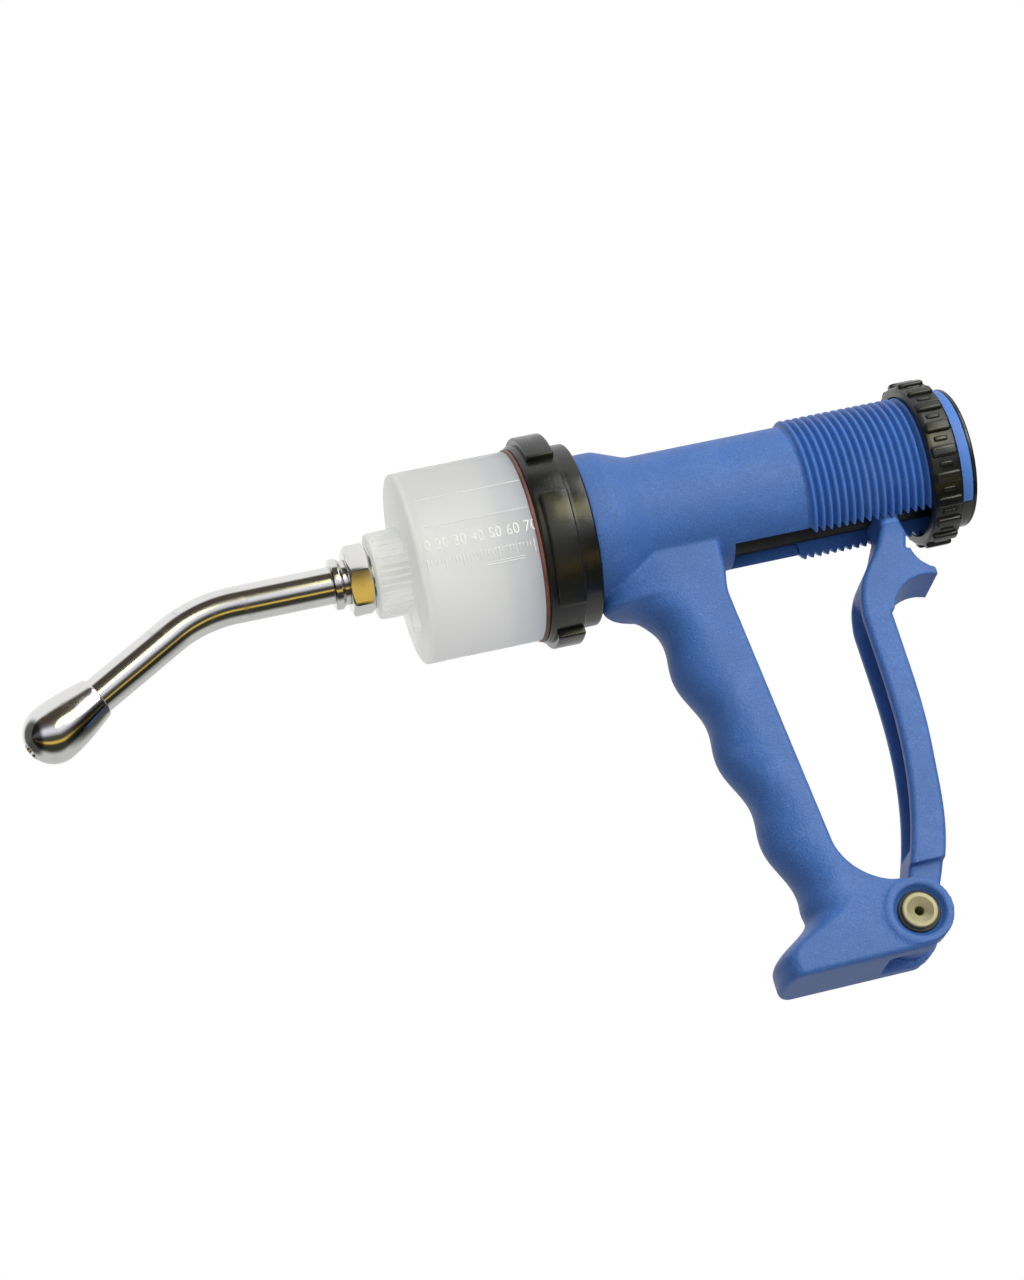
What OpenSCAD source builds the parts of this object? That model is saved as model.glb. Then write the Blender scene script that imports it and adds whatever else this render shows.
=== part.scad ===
// Livestock drencher: a pistol-form dosing syringe for giving liquid by mouth.
// The barrel lies along X with the nozzle at -X and the hose inlet at +X.
// The origin is where the grip's axis meets the barrel's axis, and +Z is up.
// Depths named "below the axis" are measured downwards from the barrel's axis.

/* [Dose cylinder] */
// Largest dose, in millilitres; with the bore it gives the piston's stroke
dose_ml = 70; // [50:1:80]
// Outside diameter of the dose cylinder
cylinder_d = 54.6; // [50:0.2:58]
// Side wall of the dose cylinder
cylinder_wall = 2.2; // [1.6:0.1:3]
// Front wall of the dose cylinder
front_wall = 2.4; // [1.8:0.1:4]
// Rounding of the cylinder's front edge
front_edge_r = 1.2; // [0.8:0.1:2.2]
// Diameter of the outlet hub on the front wall
hub_d = 24.2; // [20:0.2:30]
// Length of the outlet hub
hub_l = 9.7; // [8:0.1:14]
// Number of fine grip ridges round the hub
hub_ridges = 36; // [12:1:48]
// Height of the hub's grip ridges
hub_ridge_h = 0.4; // [0.2:0.1:1]

/* [Union] */
// Length of the union nut
union_nut_l = 9.9; // [8:0.1:14]
// Radial wall of the union nut
union_nut_wall = 2.1; // [1.4:0.1:4]
// Step from the cylinder's outside down to the union nut's bore
union_step = 0.8; // [0.4:0.1:1.2]
// Number of raised grip lugs round the union nut
lug_count = 4; // [3:1:8]
// Arc that each lug covers, in degrees
lug_arc = 65; // [15:1:70]
// Height of the lugs
lug_h = 1.9; // [0.8:0.1:3]
// Plain band left in front of the lugs
lug_band = 2; // [1:0.1:4]
// Length of the narrow collar behind the nut
collar_l = 6.1; // [4:0.1:9]
// Outside diameter of the narrow collar
collar_d = 52.6; // [50:0.2:54]
// Depth that the collar reaches into the union nut
collar_reach = 3.2; // [2:0.1:5]
// Thickness of the red-brown cylinder seal
seal_t = 1.2; // [0.8:0.1:2]

/* [Nozzle] */
// Outside diameter of the nozzle tube
tube_d = 10.6; // [9:0.1:13]
// Bore of the nozzle tube
tube_bore = 6.8; // [4:0.1:8]
// Straight run from the ferrule's front to the start of the bend
tube_run = 27.5; // [15:0.5:60]
// Angle of the bend, in degrees
bend_angle = 30; // [10:1:60]
// Centre-line radius of the bend
bend_r = 38; // [25:0.5:60]
// Straight run from the bend to the tip
tube_end_run = 27.2; // [15:0.5:50]
// Length of the olive tip
tip_l = 23.5; // [18:0.1:35]
// Largest diameter of the olive tip
tip_d = 16.8; // [14.5:0.1:20]
// Diameter of the outlet hole in the tip
outlet_d = 4.8; // [2:0.1:6]
// Width across the nozzle nut's flats
hex_af = 18; // [16:0.1:22]
// Length of the nozzle nut
hex_l = 6.5; // [4:0.1:10]
// Length of the ferrule in front of the nut
ferrule_l = 4.5; // [3:0.1:8]
// Diameter of the ferrule
ferrule_d = 14.6; // [13:0.1:16]
// Thickness of the washer behind the nut
washer_t = 0.8; // [0.5:0.1:1.5]

/* [Barrel] */
// Outside diameter of the barrel
barrel_d = 37.6; // [34:0.1:44]
// Wall of the barrel
barrel_wall = 3.3; // [2.8:0.1:3.8]
// Height of the boss at the front of the body above the barrel
boss_h = 3.5; // [1.5:0.1:5]
// Length of the boss before it falls to the barrel
boss_l = 7.6; // [4:0.1:12]
// Length of the slope from the boss to the barrel
boss_slope_l = 9.5; // [5:0.1:14]
// Thickness of the body's front wall
body_wall = 5.6; // [4:0.1:8]
// Width of the slot along the underside
slot_w = 18; // [16:0.1:20]
// Clear run of the slot ahead of the lever at full squeeze
slot_lead = 11.1; // [9:0.1:13]
// Height of the thread's ridges
thread_h = 1.5; // [1:0.1:2.5]
// Pitch of the thread
thread_pitch = 2.3; // [1.8:0.1:3.5]
// Length of the thread ahead of the dose ring
thread_l = 35.5; // [20:0.5:45]
// Plain band behind the dose ring
rear_band = 4; // [3:0.1:8]

/* [Grip] */
// Front of the grip at the top finger, from the grip's axis
grip_front = -5.2; // [-9:0.1:-3]
// Rear of the grip at the top finger, from the grip's axis
grip_rear = 16.3; // [14:0.1:20]
// Slope of the grip's front, millimetres per millimetre of depth
grip_front_slope = 0.19; // [0.1:0.01:0.22]
// Slope of the grip's rear, millimetres per millimetre of depth
grip_rear_slope = 0.085; // [0.06:0.005:0.16]
// Width of the grip
grip_w = 23; // [20:0.1:25]
// Height of the finger waves above and below their mean
finger_wave = 1.3; // [0:0.1:2]
// Spacing of the fingers along the grip
finger_pitch = 26.4; // [22:0.1:30]
// Distance from the grip's front back to where its sides turn flat
grip_round = 11.5; // [9:0.1:13]
// Depth of the foot's flat underside below the axis
foot_depth = 142.5; // [125:0.1:165]
// Height of the foot, from its underside to the top of its rear fillet
foot_h = 35.5; // [33:0.1:44]
// Height of the toe, from the foot's underside to the last finger
toe_h = 17.5; // [15:0.1:23]
// Height of the toe's upright front above the foot's underside
toe_front_h = 5.5; // [3:0.1:8]
// Distance from the toe's front back to where the foot's sides turn flat
toe_round = 5; // [3:0.1:10]
// Front of the foot's toe, from the grip's axis
toe_x = -1.6; // [-8:0.1:2]
// Width of the foot
foot_w = 25; // [23.5:0.1:30]
// Radius of the fillet between the grip's rear and the foot's top
foot_fillet = 16; // [12:0.1:20]

/* [Lever] */
// Pivot's distance behind the grip's axis
pivot_x = 38.6; // [36:0.1:41]
// Pivot's height above the foot's underside
pivot_rise = 10; // [8.5:0.1:12]
// Width of the lever
lever_w = 17.2; // [14:0.1:17.4]
// Width of the lever's tang, between the clevis cheeks
tang_w = 12.6; // [10:0.1:13.4]
// Thickness of the lever, front to rear
lever_t = 8.4; // [7.4:0.1:9.4]
// Height of the tang's shoulders above the pivot
shoulder_rise = 14; // [13.5:0.1:18]
// Depth of the channel along the lever's front
channel_depth = 4.6; // [2:0.1:5]
// Wall on each side of the lever's channel
channel_wall = 3.4; // [2.6:0.1:4.5]
// How far the lever's middle bows back from its pivot
lever_bow = 17; // [15:0.1:18]
// Clearance on each side of the lever in the clevis
clevis_gap = 0.4; // [0.3:0.05:0.8]
// Radius of the clevis cheeks and lever eye round the pivot
cheek_r = 9.3; // [8.8:0.1:11]
// Diameter of the pivot pin
pin_d = 8; // [5:0.1:8.2]
// Diameter of the pin's heads
pin_head_d = 9.8; // [9.2:0.1:11]
// Hole down the middle of the hollow pin
pin_hole_d = 2.6; // [1.5:0.1:4]
// Diameter of the recess round each pin head
pin_recess_d = 14.6; // [13:0.1:16]
// Diameter of the recess at its floor, round the pin's seal
pin_seat_d = 12.4; // [11.4:0.1:12.8]
// Depth of the recess round each pin head
pin_recess = 2.2; // [1.6:0.1:2.6]
// Depth of the nose's top below the axis when the lever stands upright
nose_clear = 7; // [6.8:0.1:8]
// Diameter of the nose that drives the plunger
nose_d = 7; // [5.5:0.1:7.4]

/* [Plunger] */
// Thickness of the piston
piston_t = 6; // [5:0.1:9]
// Diameter of the plunger rod
rod_d = 10; // [9:0.1:11]
// Bore of the plunger rod
rod_bore = 5.2; // [3:0.1:5.6]
// Length of the plunger sleeve
sleeve_l = 62; // [56:0.5:66]
// Wall of the sleeve round the return spring
sleeve_wall = 3.2; // [2:0.1:4]
// Depth of the sleeve's spring well
spring_well = 33.4; // [25:0.1:34]
// Diameter of the hose spigot
spigot_d = 9; // [7:0.1:9.6]
// Length of the hose spigot
spigot_l = 14; // [10:0.1:16]
// Wire of the return spring
spring_wire = 1.8; // [1.2:0.1:2.2]
// Turns of the return spring
spring_turns = 11; // [7:1:13]

/* [Dose ring] */
// Length of the dose ring
ring_l = 9; // [6:0.1:12]
// Radial wall of the dose ring between its grip bars
ring_wall = 2.8; // [2:0.1:5]
// Height of the grip bars
ring_bar_h = 1.1; // [0.5:0.1:2]
// Number of grip bars
ring_bars = 20; // [12:1:28]
// Width of each grip bar
ring_bar_w = 3.4; // [2:0.1:4]

/* [Rear cap] */
// Depth that the rear cap reaches into the barrel
cap_depth = 8.1; // [7:0.1:12]
// Thickness of the rear cap's rim
cap_rim = 1.3; // [0.8:0.1:3]
// Radial wall of the rear cap round the hose opening
cap_wall = 4.5; // [3.5:0.1:6]

/* [Hidden] */

$fn = 72;
// Fits and gaps
seat_gap = 0.05;     // between pieces fixed in each other
running_gap = 0.05;  // between a pin and the hole that turns on it
slide_gap = 0.3;     // between a piece and the one it slides past
end_gap = 0.6;       // left in front of the piston at the end of its stroke
overlap = 0.5;       // shared depth of solids that make one piece

// Places along the barrel's axis
body_front = -18.6;
bore_front = body_front + body_wall;
collar_front = body_front - collar_l;
nut_front = collar_front - union_nut_l;
seal_front = nut_front - seal_t;
piston_rear = collar_front - slide_gap;
piston_front = piston_rear - piston_t;
cylinder_r = cylinder_d / 2;
cylinder_bore_r = cylinder_r - cylinder_wall;
union_bore_r = cylinder_r - union_step;
stroke = dose_ml * 1000 / (PI * pow(cylinder_bore_r, 2));
cylinder_inner_front = piston_front - stroke - end_gap;
cylinder_front = cylinder_inner_front - front_wall;
hub_front = cylinder_front - hub_l;
washer_front = hub_front - washer_t;
hex_front = washer_front - hex_l;
ferrule_front = hex_front - ferrule_l;
bend_x = ferrule_front - tube_run;

sleeve_front = bore_front + stroke + slide_gap;
sleeve_rear = sleeve_front + sleeve_l;
slot_front = sleeve_front - end_gap;
nose_x = slot_front + stroke + slot_lead;
cap_front = sleeve_rear + slide_gap;
body_rear = cap_front + cap_depth;
ring_rear = body_rear - rear_band;
ring_front = ring_rear - ring_l;
thread_front = ring_front - thread_l;
barrel_r = barrel_d / 2;
bore_r = barrel_r - barrel_wall;
boss_r = barrel_r + boss_h;
thread_r = barrel_r + thread_h;
sleeve_r = bore_r - slide_gap;
spring_well_r = sleeve_r - sleeve_wall;
spring_d = rod_d / 2 + spring_well_r;

// Lever nose: it moves on a circle about the pivot
pivot_depth = foot_depth - pivot_rise;
nose_r = nose_d / 2;
nose_reach = pivot_depth - nose_clear - nose_r;
nose_z = -pivot_depth + sqrt(pow(nose_reach, 2) - pow(nose_x - pivot_x, 2));
pocket_side = 0.5;   // clearance before and behind the nose in its pocket
clevis_w = tang_w + 2 * clevis_gap;
eye_r = cheek_r - 1.1;
clevis_front = pivot_x - eye_r - 1.8;
clevis_drop = 8;
clevis_top = foot_depth - foot_h + clevis_drop;
cheek_face = foot_w / 2 + 0.6;

// Sealing and valve sizes
gland_r = rod_d / 2 + 2.6;
collar_boss_r = gland_r + 1.8;
o_ring_wire = 2.4;
rod_seal_wire = 1.6;
outlet_chamber_r = 4.2;
outlet_seat_r = 2.4;
outlet_seat_t = 1.6;
bend_draw = 0.02;    // how far bending draws the tube in, at its radius
tail_r = tube_d / 2 + 0.7;
tail_l = 3.4;
valve_t = 1.3;
valve_rim = 1.9;
valve_wire = 0.5;
outlet_valve_r = outlet_chamber_r - slide_gap;
outlet_shelf = cylinder_inner_front - outlet_seat_t;
outlet_stop = hub_front + tail_l;
inlet_chamber_r = rod_d / 2 - 1.5;
inlet_valve_r = inlet_chamber_r - slide_gap;
inlet_chamber_l = 14;
piston_plate = 2;
rod_front = piston_front + piston_plate;
inlet_seat = rod_front + inlet_chamber_l;
spigot_stop_r = 6.6;
spigot_stop_l = 2;
spigot_end = body_rear - 1.5;
rod_rear = spigot_end - spigot_l;
hose_well_r = bore_r - cap_wall;
hose_well_front = rod_rear - spigot_stop_l;

// A smooth step from 0 to 1
function ease(t) = let (u = min(max(t, 0), 1)) u * u * (3 - 2 * u);

// Points of an arc about [cx, cy], from angle a0 to angle a1
function arc(cx, cy, r, a0, a1, steps = 6) =
    [for (i = [0:steps]) let (a = a0 + (a1 - a0) * i / steps) [cx + r * cos(a), cy + r * sin(a)]];

// Outline of a bar's section at height z: front and rear in x, half width, corner radius
function bar_section(z, front, rear, half_w, corner) =
    let (outline = concat(
        arc(rear - corner, half_w - corner, corner, 0, 90, 4),
        arc(front + corner, half_w - corner, corner, 90, 180, 4),
        arc(front + corner, corner - half_w, corner, 180, 270, 4),
        arc(rear - corner, corner - half_w, corner, 270, 360, 4)))
    [for (p = outline) [p[0], p[1], z]];

// Outline of a grip's section at height z: round from the front to where its sides turn flat,
// with a flat rear
function grip_outline(z, front, flat, rear, half_w, corner) =
    let (steps = 18)
    let (outline = concat(
        arc(rear - corner, half_w - corner, corner, 0, 90, 4),
        [for (i = [0:steps]) let (a = 90 + 180 * i / steps)
            [flat + (flat - front) * cos(a), half_w * sin(a)]],
        arc(rear - corner, corner - half_w, corner, 270, 360, 4)))
    [for (p = outline) [p[0], p[1], z]];

// Solid through a list of level sections, lowest first
module loft(sections) {
    sides = len(sections[0]);
    last = len(sections) - 1;
    points = [for (s = sections) for (p = s) p];
    walls = [for (k = [0:last - 1]) for (i = [0:sides - 1])
        let (a = k * sides + i, b = k * sides + (i + 1) % sides)
        each [[a, a + sides, b], [b, a + sides, b + sides]]];
    bottom = [for (i = [1:sides - 2]) [0, i, i + 1]];
    top = [for (i = [1:sides - 2]) [last * sides, last * sides + i + 1, last * sides + i]];
    polyhedron(points, concat(bottom, walls, top));
}

// Turned piece about the barrel's axis; points are [radius, x]
module turned(points) {
    rotate([0, 90, 0]) rotate_extrude() polygon(points);
}

// Plain ring or disc about the barrel's axis
module ring_x(x0, x1, outer, inner = 0) {
    turned([[inner, x0], [outer, x0], [outer, x1], [inner, x1]]);
}

// Round bar along Y at a point of the XZ plane
module cross_bar(x, z, r, y0, y1) {
    translate([x, y0, z]) rotate([-90, 0, 0]) cylinder(r = r, h = y1 - y0);
}

// O-ring about the barrel's axis: mean radius, wire thickness, middle
module o_ring(x, mean_r, wire) {
    translate([x, 0, 0]) rotate([0, 90, 0]) rotate_extrude() translate([mean_r, 0])
        circle(d = wire, $fn = 24);
}

// Coil spring along the barrel's axis as one tube
module coil(x0, x1, mean_d, wire, turns) {
    rings = turns * 12;
    sides = 6;
    rise = (x1 - x0 - wire) / turns;
    lead = atan(rise / (PI * mean_d));
    points = [for (k = [0:rings]) let (a = 360 * turns * k / rings) for (i = [0:sides - 1])
        let (b = 360 * i / sides, r = mean_d / 2 + wire / 2 * cos(b), t = wire / 2 * sin(b))
        [x0 + wire / 2 + rise * turns * k / rings + t * cos(lead),
            r * cos(a) + t * sin(lead) * sin(a), r * sin(a) - t * sin(lead) * cos(a)]];
    walls = [for (k = [0:rings - 1]) for (i = [0:sides - 1])
        let (a = k * sides + i, b = k * sides + (i + 1) % sides)
        each [[a, a + sides, b], [b, a + sides, b + sides]]];
    bottom = [for (i = [1:sides - 2]) [0, i, i + 1]];
    top = [for (i = [1:sides - 2]) [rings * sides, rings * sides + i + 1, rings * sides + i]];
    echo(least_gap = rise * cos(lead) - wire);
    polyhedron(points, concat(bottom, walls, top));
}

// Pistol body

// Depths that shape the grip's outline
finger_top = 40;
finger_crest = 37;
finger_fade = 6;
chin_fade = 8;
foot_spread = 18;
chin_drop = 4.7;
chin_depth = boss_r + chin_drop;
chin_r = 3;
chin_x = body_front + 0.3;
toe_top = foot_depth - toe_h;
toe_full = foot_depth - toe_front_h;
fillet_top = foot_depth - foot_h;
edge_r = 1.6;
rear_corner = 1.6;
rear_flare = 3;
rear_flare_from = 32;
rear_flare_run = 14;
foot_heel = 4;       // how far the foot's underside reaches behind the pivot
foot_heel_run = 6;

function finger(d) = finger_wave * cos(360 * (d - finger_crest) / finger_pitch)
    * ease((toe_top - d) / finger_fade) * ease((d - chin_depth) / chin_fade);
function grip_line(d) = grip_front + grip_front_slope * (min(d, toe_top) - finger_top);
function toe_share(d) = ease((d - toe_top) / (toe_full - toe_top));
function grip_flat_at(d) =
    let (flat = grip_line(d) + grip_round) flat + (toe_x + toe_round - flat) * toe_share(d);
// Below the chin a fillet leads from its underside to the fingers
chin_fillet = grip_line(chin_depth) - chin_x - chin_r;
function grip_front_at(d) =
    let (chin = min(max(d - chin_depth + chin_r, 0), chin_r))
    let (t = max(chin_fillet - (d - chin_depth), 0))
    d < chin_depth ? chin_x + chin_r - sqrt(pow(chin_r, 2) - chin * chin)
        : d < toe_top ? grip_line(d) + finger(d)
            - (chin_fillet - sqrt(pow(chin_fillet, 2) - t * t))
        : grip_line(d) + (toe_x - grip_line(d)) * toe_share(d);
function grip_rear_at(d) =
    let (t = min(max(d - fillet_top, 0), foot_fillet))
    let (fillet = foot_fillet - sqrt(pow(foot_fillet, 2) - t * t))
    let (flare = rear_flare * ease((rear_flare_from - d) / rear_flare_run))
    let (heel = foot_heel * ease((d - pivot_depth) / foot_heel_run))
    min(grip_rear + grip_rear_slope * (d - finger_top) + fillet + flare, pivot_x + heel);
function grip_half_w(d) = (grip_w + (foot_w - grip_w) * ease((d - fillet_top) / foot_spread)) / 2;
function foot_edge(d) =
    let (t = min(max(d - (foot_depth - edge_r), 0), edge_r)) edge_r - sqrt(edge_r * edge_r - t * t);
function grip_section(d) =
    grip_outline(-d, grip_front_at(d) + foot_edge(d), grip_flat_at(d),
        grip_rear_at(d) - foot_edge(d), grip_half_w(d) - foot_edge(d), rear_corner);

module grip() {
    step = 2.2;
    edge_steps = 3;
    fillet_steps = 6;
    loft([for (i = [0:edge_steps - 1]) grip_section(foot_depth - edge_r * i / edge_steps),
        each [for (d = [foot_depth - edge_r:-step:chin_depth + chin_fillet]) grip_section(d)],
        each [for (i = [0:fillet_steps - 1])
            grip_section(chin_depth + chin_fillet * pow(1 - i / fillet_steps, 2))],
        each [for (i = [0:edge_steps]) grip_section(chin_depth - chin_r * i / edge_steps)],
        grip_section(bore_r - overlap)]);
}

// Outside of the barrel with its boss, thread and plain rear band
module barrel() {
    slope = body_front + boss_l;
    neck = slope + boss_slope_l;
    turns = floor((ring_rear - thread_front) / thread_pitch);
    crest_steps = 6;
    thread = [for (k = [0:turns * crest_steps])
        [barrel_r + (thread_r - barrel_r) * (1 - cos(360 * k / crest_steps)) / 2,
            thread_front + thread_pitch * k / crest_steps]];
    ring_x(body_front, slope, boss_r);
    turned([[0, slope - overlap], [boss_r, slope - overlap], [boss_r, slope],
        [barrel_r, neck], [0, neck]]);
    turned(concat([[0, neck - overlap], [barrel_r, neck - overlap]], thread,
        [[barrel_r, ring_rear], [thread_r, ring_rear], [thread_r, body_rear], [0, body_rear]]));
}

module pistol_body() {
    color("royalblue") difference() {
        union() {
            barrel();
            grip();
            for (side = [-1, 1])
                cross_bar(pivot_x, -pivot_depth, cheek_r,
                    side > 0 ? clevis_w / 2 - overlap : -cheek_face,
                    side > 0 ? cheek_face : -clevis_w / 2 + overlap);
        }
        // barrel's bore and the hole for the collar's boss
        ring_x(bore_front, body_rear + overlap, bore_r);
        ring_x(body_front - overlap, bore_front + overlap, collar_boss_r + seat_gap);
        // slot for the lever
        translate([slot_front, -slot_w / 2, -thread_r - overlap])
            cube([body_rear - slot_front + overlap, slot_w, thread_r]);
        // clevis
        translate([clevis_front, -clevis_w / 2, -foot_depth - overlap])
            cube([pivot_x, clevis_w, foot_depth + overlap - clevis_top]);
        // pivot hole and the recesses round the pin's heads
        cross_bar(pivot_x, -pivot_depth, pin_d / 2 + seat_gap, -foot_w, foot_w);
        for (side = [-1, 1])
            translate([pivot_x, side * (cheek_face - pin_recess), -pivot_depth])
                rotate([side * -90, 0, 0]) {
                    cylinder(d1 = pin_seat_d, d2 = pin_recess_d, h = pin_recess);
                    translate([0, 0, pin_recess - seat_gap])
                        cylinder(d = pin_recess_d, h = foot_w);
                }
    }
}

// Squeeze lever

bow_depth = 60;
lean_depth = 46;     // where the lever starts to lean back towards its nose
lean_run = 27;
neck_lean = 0.7;     // how far the neck's middle stands in front of the nose's
neck_half = 2.9;
neck_flare = 4;
head_depth = 33.5;
head_run = 11;
head_bulge = 1.6;
heel_depth = 88;     // where the lever starts to thicken towards its pivot
heel_run = 30;
heel_bulge = 1.8;
lever_corner = 1.6;
tang_inset = 0.1;    // of the tang's front and rear behind the lever's
nose_half_w = lever_w / 2 - 0.6;
spur_half_w = lever_w / 2 - 0.2;
lever_top_x = nose_x - neck_lean;
// The neck stays slim as far as the nose's rise carries it into the sleeve
nose_rise = -nose_z - nose_clear - nose_r;
neck_depth = sleeve_r + nose_rise + slide_gap;

function lever_middle(d) =
    let (low = max(0, (d - bow_depth) / (pivot_depth - bow_depth)))
    let (belly = pivot_x + lever_bow)
    belly - lever_bow * pow(low, 2.5)
        + (lever_top_x - belly) * ease((lean_depth - d) / lean_run);
function lever_half(d) =
    neck_half + (lever_t / 2 - neck_half) * ease((d - neck_depth) / neck_flare)
        + head_bulge * ease(1 - abs(d - head_depth) / head_run);
function lever_heel(d) = heel_bulge * ease((d - heel_depth) / heel_run);
function lever_section(d, half_w, inset = 0) =
    bar_section(-d, lever_middle(d) - lever_half(d) + inset,
        lever_middle(d) + lever_half(d) + lever_heel(d) - inset, half_w, lever_corner);

// Thumb spur behind the top of the lever: a blade between two hollows
spur_root = lever_middle(head_depth);
spur_reach = 15;
spur_tip = spur_root + spur_reach;
spur_top_reach = 4;
spur_under_back = 4.5;
spur_top = [spur_tip + spur_top_reach, -27.2];
spur_top_r = 9.25;
spur_under = [spur_tip - spur_under_back, -48.5];
spur_under_r = 11.35;

module thumb_spur() {
    under = spur_under[1] + 3;
    above = spur_top[1] - 1;
    rotate([90, 0, 0]) linear_extrude(height = 2 * spur_half_w, center = true) difference() {
        polygon([[lever_middle(-under), under], [spur_tip, under], [spur_tip, above],
            [lever_middle(-above), above]]);
        translate(spur_top) circle(r = spur_top_r);
        translate(spur_under) circle(r = spur_under_r);
    }
}

// Channel along the lever's front, which fades out at both ends
lever_step = 2.6;
shoulder = pivot_depth - shoulder_rise;
channel_top = 34;
channel_fade = 14;
channel_end = 10;
channel_corner = 0.8;
channel_skim = 0.1;  // how far the channel's ends stand clear of the lever
function channel_at(d) = (channel_depth + channel_skim) * ease((d - channel_top) / channel_fade)
    * ease((shoulder - lever_step - d) / channel_end) - channel_skim;

module lever_channel() {
    loft([for (d = [shoulder - lever_step:-lever_step:channel_top])
        let (front = lever_middle(d) - lever_half(d))
        bar_section(-d, front - lever_t, front + channel_at(d), lever_w / 2 - channel_wall,
            channel_corner)]);
}

module squeeze_lever() {
    flare_depth = neck_depth + neck_flare;
    tang_low = pivot_depth - eye_r / 2;
    color("royalblue") difference() {
        union() {
            loft([for (d = [shoulder:-lever_step:flare_depth + lever_step / 2])
                    lever_section(d, lever_w / 2),
                lever_section(flare_depth, lever_w / 2), lever_section(neck_depth, nose_half_w),
                lever_section(-nose_z, nose_half_w)]);
            loft([for (d = [tang_low:-lever_step:shoulder - lever_step])
                lever_section(d, tang_w / 2, tang_inset)]);
            cross_bar(pivot_x, -pivot_depth, eye_r, -tang_w / 2, tang_w / 2);
            cross_bar(nose_x, nose_z, nose_r, -nose_half_w, nose_half_w);
            thumb_spur();
        }
        cross_bar(pivot_x, -pivot_depth, pin_d / 2 + running_gap, -lever_w, lever_w);
        lever_channel();
    }
}

// Pivot

pin_head_t = 1.2;
pin_half = cheek_face - pin_recess + pin_head_t;
pivot_seal_t = 0.9;

module pivot_pin() {
    color("silver") difference() {
        union() {
            cross_bar(pivot_x, -pivot_depth, pin_d / 2, -pin_half, pin_half);
            for (side = [-1, 1])
                cross_bar(pivot_x, -pivot_depth, pin_head_d / 2,
                    side > 0 ? pin_half - pin_head_t + pivot_seal_t : -pin_half - pivot_seal_t,
                    side > 0 ? pin_half + pivot_seal_t : -pin_half + pin_head_t - pivot_seal_t);
        }
        cross_bar(pivot_x, -pivot_depth, pin_hole_d / 2, -foot_w, foot_w);
        // countersunk ends
        for (side = [-1, 1])
            translate([pivot_x, side * (pin_half + pivot_seal_t), -pivot_depth])
                rotate([side * 90, 0, 0])
                    cylinder(r1 = pin_head_d / 2 - 1.2, r2 = pin_hole_d / 2, h = pin_head_t);
    }
}

module pivot_seals() {
    color([0.08, 0.08, 0.08]) for (side = [-1, 1])
        difference() {
            cross_bar(pivot_x, -pivot_depth, pin_seat_d / 2 - slide_gap,
                side > 0 ? pin_half - pin_head_t : -pin_half + pin_head_t - pivot_seal_t,
                side > 0 ? pin_half - pin_head_t + pivot_seal_t : -pin_half + pin_head_t);
            cross_bar(pivot_x, -pivot_depth, pin_d / 2 + seat_gap, -foot_w, foot_w);
        }
}

// Dose ring and rear cap

ring_bore_r = thread_r + slide_gap;
ring_r = ring_bore_r + ring_wall;

module dose_ring() {
    color([0.1, 0.1, 0.1]) difference() {
        union() {
            ring_x(ring_front, ring_rear, ring_r);
            intersection() {
                turned([[0, ring_front], [ring_r, ring_front],
                    [ring_r + ring_bar_h, ring_front + ring_bar_h],
                    [ring_r + ring_bar_h, ring_rear - ring_bar_h], [ring_r, ring_rear],
                    [0, ring_rear]]);
                for (i = [0:ring_bars - 1])
                    rotate([360 * i / ring_bars, 0, 0])
                        translate([ring_front, -ring_bar_w / 2, ring_bore_r])
                            cube([ring_l, ring_bar_w, ring_wall + 2 * ring_bar_h]);
            }
        }
        ring_x(ring_front - overlap, ring_rear + overlap, ring_bore_r);
    }
}

module rear_cap() {
    plug_r = bore_r - seat_gap;
    tongue_w = slot_w - 2 * slide_gap;
    color([0.1, 0.1, 0.1]) difference() {
        union() {
            ring_x(cap_front, body_rear, plug_r);
            ring_x(body_rear, body_rear + cap_rim, thread_r);
            intersection() {
                ring_x(ring_rear + slide_gap, body_rear + cap_rim, thread_r);
                translate([ring_rear, -tongue_w / 2, -thread_r - overlap])
                    cube([rear_band + cap_rim, tongue_w, thread_r]);
            }
        }
        ring_x(cap_front - overlap, body_rear + cap_rim + overlap, hose_well_r);
    }
}

// Plunger

module plunger_sleeve() {
    pocket_half = nose_r + pocket_side;
    pocket_w = 2 * (nose_half_w + slide_gap);
    color([0.1, 0.1, 0.1]) difference() {
        ring_x(sleeve_front, sleeve_rear, sleeve_r, rod_d / 2 + seat_gap);
        ring_x(sleeve_front - overlap, sleeve_front + spring_well, spring_well_r);
        ring_x(hose_well_front, sleeve_rear + overlap, hose_well_r);
        translate([nose_x - pocket_half, -pocket_w / 2, -sleeve_r - overlap])
            cube([2 * pocket_half, pocket_w, sleeve_r + overlap - nose_clear + slide_gap]);
    }
}

module plunger_rod() {
    color([0.16, 0.16, 0.17]) difference() {
        union() {
            ring_x(rod_front, rod_rear, rod_d / 2);
            ring_x(hose_well_front, rod_rear, spigot_stop_r);
            ring_x(rod_rear - overlap, spigot_end, spigot_d / 2);
        }
        ring_x(rod_front - overlap, spigot_end + overlap, rod_bore / 2);
        ring_x(rod_front - overlap, inlet_seat, inlet_chamber_r);
    }
}

module piston() {
    piston_r = cylinder_bore_r - slide_gap;
    groove_x = (piston_front + piston_rear) / 2;
    color([0.14, 0.14, 0.15]) difference() {
        ring_x(piston_front, piston_rear, piston_r, rod_bore / 2 - 0.6);
        ring_x(rod_front, piston_rear + overlap, rod_d / 2 + seat_gap);
        ring_x(groove_x - o_ring_wire / 2 - seat_gap, groove_x + o_ring_wire / 2 + seat_gap,
            piston_r + overlap, cylinder_bore_r - o_ring_wire - 2 * seat_gap);
    }
}

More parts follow.
